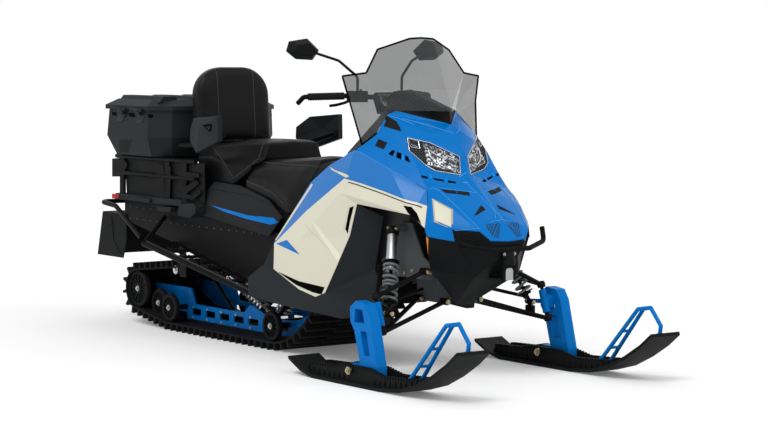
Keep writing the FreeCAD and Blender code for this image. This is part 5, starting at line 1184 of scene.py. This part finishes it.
# A lighter cream strip along the panel's crease: a painted highlight.
inlay("panel_highlight_stripe", "side_panel_right", [
    [(311.5, 222.5), (314.6, 222.5), (341.2, 255.6), (338.0, 262.0)],
], "cream_cowl", glossy("painted_highlight_cream", shade(cream, 1.16), 0.3), lift=0.0010, cuts=5)
inlay("panel_vents", "side_panel_right", [
    [(349.6, 207.6), (353.9, 206.2), (350.2, 220.6), (347.8, 233.8), (345.4, 229.0), (347.2, 219.6)],
], "black_plastic", slot_black, lift=0.0006)
bead("panel_vent_rims", "side_panel_right", [
    [(348.2, 207.4), (345.9, 219.0), (343.8, 229.6), (348.6, 236.0)],
], 0.0016, "cream_cowl", finish["cream_cowl"])

# %% [markdown]
# ## Seats
# A seat cover is a skin stretched over foam. A copy of the solid is made a little smaller and blown
# up by a short cloth run with a low pressure, so its faces swell. The swelling is evened out, because
# vinyl over firm foam is taut. Seams go on after that, because they lie on the swollen skin.


# %% Blown-up covers
def smaller(shape, inset):
    """Move a closed shape's surface inward."""
    bmesh.ops.recalc_face_normals(shape, faces=shape.faces)
    shape.normal_update()
    for vert in shape.verts:
        vert.co -= vert.normal * inset
    return shape


def evened(edges, amounts, times=14):
    """Amounts at the vertices, each drawn to the mean of its neighbours."""
    for _ in range(times):
        totals = [[amount, 1] for amount in amounts]
        for edge in edges:
            first, second = edge.vertices
            for vert, other in ((first, second), (second, first)):
                totals[vert][0] += amounts[other]
                totals[vert][1] += 1
        amounts = [total / count for total, count in totals]
    return amounts


def settle(thing):
    """Keep a thing's shape as its modifiers leave it, without the modifiers."""
    shown = thing.evaluated_get(bpy.context.evaluated_depsgraph_get())
    mesh = bpy.data.meshes.new_from_object(shown)
    thing.modifiers.clear()
    thing.data = mesh


def swell(cover, most):
    """Blow a cover up by cloth. It moves along its own normals, by no more than most."""
    pressure = 5.0
    stiffness = 25.0
    frames = 20
    start = [(vert.co.copy(), vert.normal.copy()) for vert in cover.data.vertices]
    cloth = cover.modifiers.new("cloth", "CLOTH")
    cloth.settings.use_pressure = True
    cloth.settings.uniform_pressure_force = pressure
    cloth.settings.tension_stiffness = stiffness
    cloth.settings.effector_weights.gravity = 0.0
    for frame_number in range(1, frames + 1):
        bpy.context.scene.frame_set(frame_number)
    settle(cover)
    moved = [max(0.0, min(most, (vert.co - before).dot(way)))
             for vert, (before, way) in zip(cover.data.vertices, start)]
    moved = evened(cover.data.edges, moved)
    for vert, (before, way), amount in zip(cover.data.vertices, start, moved):
        vert.co = before + way * amount


def stuffed(node, most, wider=1.0):
    """A padded cover in a solid's place."""
    inset = 0.0025
    voxel = 0.0065
    shape = smaller(copied(node), inset)
    bmesh.ops.scale(shape, vec=(1.0, wider, 1.0), verts=shape.verts)
    mesh = bpy.data.meshes.new(node + "_cover")
    shape.to_mesh(mesh)
    shape.free()
    cover = bpy.data.objects.new(node + "_cover", mesh)
    bpy.context.scene.collection.objects.link(cover)
    grid = cover.modifiers.new("grid", "REMESH")
    grid.mode = "VOXEL"
    grid.voxel_size = voxel
    settle(cover)
    swell(cover, most)
    smoothed = bmesh.new()
    smoothed.from_mesh(cover.data)
    for _ in range(3):
        bmesh.ops.smooth_vert(smoothed, verts=smoothed.verts, factor=0.5,
                              use_axis_x=True, use_axis_y=True, use_axis_z=True)
    smoothed.to_mesh(cover.data)
    smoothed.free()
    cover.data.shade_smooth()
    finer = cover.modifiers.new("finer", "SUBSURF")
    finer.levels = 1
    finer.render_levels = 1
    rides(cover, nodes[node]["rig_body"], slot_of[node], finish[slot_of[node]], stands_for=[node])
    return cover


bpy.context.scene.frame_set(1)
covers = {
    "rider_seat": stuffed("rider_seat", 0.012),
    "passenger_seat": stuffed("passenger_seat", 0.012),
    "backrest": stuffed("backrest", 0.010, wider=1.07),
}
print("covers", {name: len(cover.data.vertices) for name, cover in covers.items()})

# %% [markdown]
# ## Hands and eyes
# The grips have rings of rubber, the levers curve round in front of them, and the mirror glass lies
# just inside the rear face of each head.

# %% Grips, levers, buttons and mirror glass
grip_start = at(392, -202, 1196)
grip_end = at(300, -337, 1190)
grip_turn = (grip_end - grip_start).to_track_quat("Z", "Y").to_matrix().to_4x4()
ring_profile = [(0.0150, -0.0022), (0.0176, -0.0014), (0.0180, 0.0), (0.0176, 0.0014), (0.0150, 0.0022)]
rings = bmesh.new()
for number in range(13):
    centre = grip_start.lerp(grip_end, 0.06 + number * 0.072)
    add_turned(rings, ring_profile, Matrix.Translation(centre) @ grip_turn, 20)
piece("grip_rings", rings, "steering", "grip_rubber", mirrored=True)

levers = bmesh.new()
brake_path = ((412, 170, 1180), (432, 205, 1174), (420, 262, 1170), (382, 322, 1166), (366, 338, 1165))
throttle_path = ((376, -150, 1178), (352, -172, 1164), (332, -204, 1154), (320, -232, 1150))
for path, radius in ((brake_path, 0.0080), (throttle_path, 0.0110)):
    add_tube(levers, [at(*spot) for spot in path], radius, 10, 0.6)
add_box(levers, at(420, 168, 1186), (0.030, 0.026, 0.020))
piece("levers", levers, "steering", "black_paint", bevel=0.0012)

riser_corners = ((-46, 1198), (46, 1198), (15, 1088), (-15, 1088))
riser_rear, riser_front = 430, 452
cap_over = 3
riser = bmesh.new()
for x in (riser_rear, riser_front):
    corners = [at(x, y, z) for y, z in riser_corners]
    for start, end in zip(corners, corners[1:] + corners[:1]):
        add_rod(riser, start, end, 0.0048, sides=6)
    left_low = corners[0].lerp(corners[3], 0.5)
    right_low = corners[1].lerp(corners[2], 0.5)
    for start, end in ((left_low, right_low), (corners[0], right_low), (corners[1], left_low),
                       (left_low, corners[2])):
        add_rod(riser, start, end, 0.0034, sides=6)
for y, z in riser_corners:
    add_rod(riser, at(riser_rear - cap_over, y, z), at(riser_front + cap_over, y, z), 0.0065, sides=12)
piece("bar_riser", riser, "steering", "bare_metal", finish["shock_grey"])

buttons = bmesh.new()
for y, z in ((120, 1204), (138, 1204), (129, 1190), (158, 1202)):
    for side in (-1, 1):
        add_rod(buttons, at(373, side * y, z), at(368.5, side * y, z), 0.0052, 0.0044, sides=16)
piece("pod_buttons", buttons, "steering", "grip_rubber", finish["key_grey"], bevel=0.0006)
stop = bmesh.new()
add_rod(stop, at(372, -160, 1186), at(364, -160, 1186), 0.0075, 0.0068, sides=20)
add_rod(stop, at(420, -132, 1217), at(420, -132, 1226), 0.0070, 0.0060, sides=20)
piece("stop_button", stop, "steering", "red_lens", bevel=0.0008)


def islands(shape):
    """The separate groups of joined vertices of a shape."""
    left = set(shape.verts)
    groups = []
    while left:
        open_ends = [left.pop()]
        group = list(open_ends)
        while open_ends:
            for edge in open_ends.pop().link_edges:
                for vert in edge.verts:
                    if vert in left:
                        left.discard(vert)
                        group.append(vert)
                        open_ends.append(vert)
        groups.append(group)
    return groups


glass_share = 0.88
glass_thick = 0.0012
glass = copied("mirrors")
glass.normal_update()
others = [face for face in glass.faces if face.normal.x > -0.85 or face.calc_area() < 0.001]
bmesh.ops.delete(glass, geom=others, context="FACES")
for island in islands(glass):
    middle = sum((vert.co for vert in island), Vector()) / len(island)
    for vert in island:
        vert.co = middle + (vert.co - middle) * glass_share
grown = bmesh.ops.extrude_face_region(glass, geom=glass.faces[:])["geom"]
bmesh.ops.translate(glass, verts=verts_in(grown), vec=(-glass_thick, 0, 0))
piece("mirror_glass", glass, "steering", "mirror_glass")

# %% Guard recesses
inlay("guard_recesses", "hand_guards", [
    [(202.5, 124.9), (212.0, 123.8), (211.4, 131.8), (208.6, 131.2)],
], "black_plastic", slot_black)
inlay("guard_marks", "hand_guards", [
    [(206.0, 126.6), (210.4, 126.2), (210.2, 130.0), (208.4, 129.6)],
], "black_plastic", glossy("guard_black", near_black, 0.2), lift=0.0022)

# %% [markdown]
# ## Display
# A wide display lies in the sloping rear face of the console, in a gloss frame with keys at its ends.

# %% Console display
console_low = at(545, 0, 1130)
console_high = at(610, 0, 1228)
console_up = (console_high - console_low).normalized()
console_out = console_up.cross(Vector((0, 1, 0))).normalized()
console_out *= -math.copysign(1.0, console_out.x)
middle = console_low.lerp(console_high, 0.52) + console_out * 0.001
face_turn = Matrix((Vector((0, 1, 0)), console_up, console_out)).transposed().to_4x4()
face_place = Matrix.Translation(middle) @ face_turn
frame_tall = 0.010
frame_shape = bmesh.new()
add_plate(frame_shape, [(-0.088, -0.032), (-0.078, -0.042), (0.078, -0.042), (0.088, -0.032), (0.088, 0.030),
                        (0.076, 0.040), (-0.076, 0.040), (-0.088, 0.030)], frame_tall, face_place)
piece("display_frame", frame_shape, "chassis", "black_plastic", bevel=0.002)
screen_shape = bmesh.new()
add_plate(screen_shape, [(-0.064, -0.032), (0.064, -0.032), (0.064, 0.030), (-0.064, 0.030)], 0.0014,
          face_place @ Matrix.Translation((0, 0, frame_tall)))
piece("display_glass", screen_shape, "chassis", "mirror_glass", finish["display_dark"])
keys = bmesh.new()
for side in (-1, 1):
    for height in (-0.020, 0.0, 0.020):
        add_box(keys, face_place @ Vector((side * 0.076, height, 0.011)), (0.008, 0.014, 0.006), face_turn)
piece("display_keys", keys, "chassis", "grip_rubber", finish["key_grey"], bevel=0.001)
print("controls dressed")

# %% [markdown]
# ## Inside the cowl
# The painted panels get a black skin inside, a dark sheet that paints the shade inside the cowl, so the
# places between screen, console and tank look dark.


# %% Black inner skins as painted shade
def shade_lining(node, outward):
    """A black skin on the inner faces of a cowl panel, as painted shade inside the cowl."""
    shape = copied(node)
    shape.normal_update()
    outer_faces = [face for face in shape.faces
                   if face.normal.dot(outward(face.calc_center_median())) > -0.25]
    bmesh.ops.delete(shape, geom=outer_faces, context="FACES")
    bmesh.ops.solidify(shape, geom=shape.faces[:], thickness=-0.0010)
    piece(node + "_lining", shape, nodes[node]["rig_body"], "black_plastic", turned=False)


cowl_heart = Vector((0.70, 0.0, 0.70))
shade_lining("side_panel_left", lambda centre: Vector((0, 1, 0)))
shade_lining("side_panel_right", lambda centre: Vector((0, -1, 0)))
shade_lining("hood", lambda centre: (centre - cowl_heart).normalized())
print("cowl lined")

# %% [markdown]
# ## Seams
# Seams are stitched on the swollen covers: a low bead where two cuts of vinyl meet. The beads are a
# lighter vinyl than the seats, a painted highlight along each seam.

# %% Seams on seats and backrest
for node, cover in covers.items():
    trees[node] = tree_from(cover.data)
bead("rider_seams", "rider_seat", [
    [(262.0, 161.8), (274.0, 163.6), (300.0, 165.4), (322.0, 167.0)],
    [(246.0, 181.0), (258.0, 185.6), (272.3, 192.5), (284.0, 204.4)],
], 0.0022, "seat_cover", finish["seam_vinyl"])
bead("passenger_seams", "passenger_seat", [
    [(263.6, 143.4), (258.6, 158.8), (246.0, 169.0), (233.6, 178.0)],
    [(214.0, 148.4), (224.0, 162.0), (233.6, 178.0)],
], 0.0022, "seat_cover", finish["seam_vinyl"])

rest_low = 0.965
rest_step = 0.0113
rest_seams = bmesh.new()
for y in (-0.105, 0.105):
    points = []
    for step in range(31):
        hit, _ = surface("backrest", (-0.60, y, rest_low + step * rest_step), (-1, 0, 0))
        if hit is not None:
            points.append(hit - Vector((0.001, 0, 0)))
    add_tube(rest_seams, points, 0.0024, 8)
piece("backrest_seams", rest_seams, "chassis", "seat_cover", finish["seam_vinyl"])

# %% [markdown]
# ## Cargo box
# Slots and hinge leaves sit under the rim, a foot recess lies low in the side, and four ribs stiffen
# the lid.

# %% Lid ribs
ribs = bmesh.new()
lid_top = 1.150
rib_long = 0.400
for y in (-0.262, -0.088, 0.088, 0.262):
    add_plate(ribs, [(-0.062, -0.016), (0.062, -0.016), (0.034, 0.0185), (-0.034, 0.0185)], rib_long,
              Matrix.Translation((-1.405, y, lid_top)) @ quarter["Y"] @ quarter["Z"])
piece("lid_ribs", ribs, "lid", "dark_plastic", bevel=0.005, segments=3, angle=20.0)

# %% Slots, hinge leaves and foot recess
inlay("box_slots", "cargo_box", [
    [(111.8, 112.0), (116.4, 112.2), (116.6, 115.6), (112.6, 115.4)],
    [(128.4, 112.8), (135.6, 113.2), (135.0, 117.0), (129.6, 116.6)],
    [(147.4, 114.0), (153.6, 114.4), (152.6, 118.0), (148.2, 117.6)],
], "black_plastic", slot_black, lift=0.0007)
inlay("box_recesses", "cargo_box", [
    [(119.4, 139.8), (133.0, 139.8), (130.4, 143.0), (128.4, 152.6), (119.2, 152.0)],
], "black_plastic", lift=0.0007)
inlay("box_leaves", "cargo_box", [
    [(119.4, 113.4), (126.6, 113.8), (122.2, 121.4), (116.8, 120.8)],
    [(137.8, 114.4), (145.8, 115.0), (141.4, 123.6), (135.8, 122.8)],
], "dark_plastic", grained("leaf_grey", (0.032, 0.035, 0.037)), lift=0.0035, bevel=0.0012)

# %% [markdown]
# ## Rack and deck
# The rack's right side carries pressed plates between its bars, and the deck ends in stepped blocks.
# The snow flap hangs behind the tunnel and has a ribbed web on top.

# %% Rack plates and deck blocks
def beside(shape, y, corners, thick):
    """An upright plate along the machine through corners given as pixels."""
    add_slab(shape, [point_beside(y, u, v) for u, v in corners], (0, thick, 0))


plate_y = -0.306
panel_y = -0.292
plate_thick = 0.004
plates = bmesh.new()
for corners in (
        [(112.0, 158.6), (122.4, 157.6), (127.4, 164.6), (121.8, 176.6), (112.0, 176.6)],
        [(156.2, 163.8), (163.4, 165.0), (165.0, 206.0), (156.0, 203.6)],
        [(166.4, 166.0), (170.6, 166.6), (169.8, 206.4), (166.6, 206.0)],
        [(178.0, 170.6), (198.6, 173.6), (199.2, 178.0), (178.4, 176.4)],
        [(180.6, 190.0), (196.0, 179.6), (199.2, 183.6), (185.0, 194.6)],
        [(178.0, 192.0), (192.0, 195.6), (199.4, 188.6), (200.6, 193.4), (193.0, 200.4), (177.0, 197.0)]):
    beside(plates, plate_y, corners, plate_thick)
piece("rack_plates", plates, "chassis", "black_paint", bevel=0.0012)
panels = bmesh.new()
for corners in (
        [(124.6, 156.4), (160.0, 159.6), (160.0, 206.0), (127.0, 198.6), (126.0, 181.0)],
        [(160.0, 159.6), (204.4, 163.6), (204.8, 207.0), (160.0, 206.0)]):
    beside(panels, panel_y, corners, plate_thick)
piece("rack_panels", panels, "chassis", "black_plastic", bevel=0.0015)

blocks = bmesh.new()
for corners, outer, thick in (
        ([(178.4, 204.6), (192.4, 203.2), (195.6, 206.6), (195.0, 213.0), (190.2, 218.2), (177.8, 215.6)],
         -0.340, 0.060),
        ([(156.6, 206.4), (171.0, 207.4), (170.0, 212.4), (156.2, 210.8)], -0.334, 0.040),
        ([(134.0, 197.0), (150.0, 199.0), (149.0, 202.8), (133.4, 200.6)], -0.334, 0.040)):
    beside(blocks, outer, corners, thick)
piece("deck_blocks", blocks, "chassis", "grey_deck", bevel=0.003, mirrored=True)

lamps = bmesh.new()
for side in (-1, 1):
    add_box(lamps, at(-1446, side * 292, 651), (0.050, 0.066, 0.024))
piece("tail_lamp_bodies", lamps, "chassis", "red_lens", bevel=0.004)

# %% Flap creases and web
bead("flap_creases", "snow_flap", [[(111.5, 216.0), (113.6, 240.0), (119.6, 252.6), (124.6, 256.6)]],
     0.0030, "black_plastic")
web_thick = 0.004
web_rib = 0.012
web_rib_tall = 0.006
flap = copied("snow_flap")
flap_top = max(vert.co.z for vert in flap.verts)
flap_rim = [vert.co.copy() for vert in flap.verts if vert.co.z > flap_top - 0.004]
flap.free()
rear_x = min(spot.x for spot in flap_rim) + 0.002
front_x = max(spot.x for spot in flap_rim) + 0.020
half = max(spot.y for spot in flap_rim) - 0.003
web = bmesh.new()
add_plate(web, [(rear_x, -half), (front_x, -half), (front_x, half), (rear_x, half)], web_thick,
          Matrix.Translation((0.0, 0.0, flap_top - 0.007)))
for number in range(1, 6):
    add_box(web, ((rear_x + front_x) / 2, half * (number / 3 - 1), flap_top - 0.004),
            (front_x - rear_x - 0.04, web_rib, web_rib_tall))
piece("flap_web", web, "chassis", "black_plastic", bevel=0.0012)

# %% Fairing bands and flash
inlay("fairing_bands", "seat_fairings", [
    [(215.4, 189.4), (221.4, 182.6), (248.7, 186.0), (265.8, 195.8), (279.0, 206.6), (270.6, 203.4),
     (251.1, 195.6)],
], "grey_deck", lift=0.0035, bevel=0.0014, cuts=5)
inlay("fairing_flash", "seat_fairings", [
    [(210.6, 205.0), (240.0, 213.2), (262.0, 218.4), (273.4, 217.6), (278.4, 222.6), (271.0, 224.8),
     (246.0, 218.8), (224.0, 211.6)],
], "blue_cowl", lift=0.0016, cuts=5)

# %% [markdown]
# ## Running boards and tunnel
# The boards have rows of teeth that grip a boot, and the tunnel's sheets are riveted. A toothed cam
# sits where the rear arm meets the slide rails.

# %% Board teeth
board_rear = at(-940, 430, 452)
board_front = at(20, 352, 252)
board_inner = 0.300
edge_teeth, inner_teeth = 76, 30
tooth_turn = Matrix.Rotation(math.radians(45), 4, "Y")
teeth = bmesh.new()
for number in range(edge_teeth):
    spot = board_rear.lerp(board_front, number / (edge_teeth - 1))
    add_box(teeth, spot + Vector((0, 0, 0.006)), (0.0060, 0.0075, 0.010), tooth_turn)
for share in (0.25, 0.50, 0.75):
    for number in range(inner_teeth):
        spot = board_rear.lerp(board_front, 0.08 + number * 0.03)
        y = spot.y + (board_inner - spot.y) * share
        hit, _ = surface("running_boards", (spot.x, y, spot.z + 0.06), down)
        if hit is not None and abs(hit.z - spot.z) < 0.05:
            add_box(teeth, hit + Vector((0, 0, 0.003)), (0.0050, 0.0070, 0.008), tooth_turn)
piece("board_teeth", teeth, "chassis", "black_paint", finish["worn_edge"], mirrored=True)

# %% Tunnel rivets
rivet_gap = 66
rivet_rows = (600, 540)
rivets = bmesh.new()
for x in range(-1380, -60, rivet_gap):
    for z in rivet_rows:
        hit, normal = surface("tunnel", at(x, 1000, z), (0, -1, 0))
        if hit is not None and abs(normal.y) > 0.5:
            add_rod(rivets, hit - Vector((0, 0.001, 0)), hit + Vector((0, 0.0022, 0)), 0.0042, 0.0026,
                    sides=12)
piece("tunnel_rivets", rivets, "chassis", "bare_metal", finish["worn_edge"], mirrored=True)

# %% Cams of the rear arm
cam_teeth = 9
cam_outer, cam_inner = 0.024, 0.019
cam_thick = 0.012
cam_outline = []
for number in range(cam_teeth * 2):
    reach = cam_outer if number % 2 else cam_inner
    angle = math.pi * number / cam_teeth
    cam_outline.append((reach * math.cos(angle), reach * math.sin(angle)))
cams = bmesh.new()
cam_middle = point_beside(-0.236, 177.2, 269.6)
add_plate(cams, cam_outline, cam_thick, Matrix.Translation(cam_middle) @ quarter["X"])
add_rod(cams, cam_middle - Vector((0, 0.018, 0)), cam_middle + Vector((0, 0.030, 0)), 0.009)
piece("arm_cams", cams, "chassis", "bare_metal", bevel=0.001, mirrored=True)
print("rear dressed")

# %% [markdown]
# ## Stage
# The floor is part of the picture and not of the machine.

# %% Floor
floor_size = 60.0
floor_shape = bmesh.new()
bmesh.ops.create_grid(floor_shape, x_segments=1, y_segments=1, size=floor_size)
floor_mesh = bpy.data.meshes.new("floor")
floor_shape.to_mesh(floor_mesh)
floor_shape.free()
floor = bpy.data.objects.new("floor", floor_mesh)
bpy.context.scene.collection.objects.link(floor)
floor_paint = Paint("floor", (0.93, 0.93, 0.93), 0.9, specular_ior_level=0.0)
floor_paint.set("Emission Color", (1.0, 1.0, 1.0, 1.0))
floor_paint.set("Emission Strength", 0.12)
floor.data.materials.append(floor_paint.material)
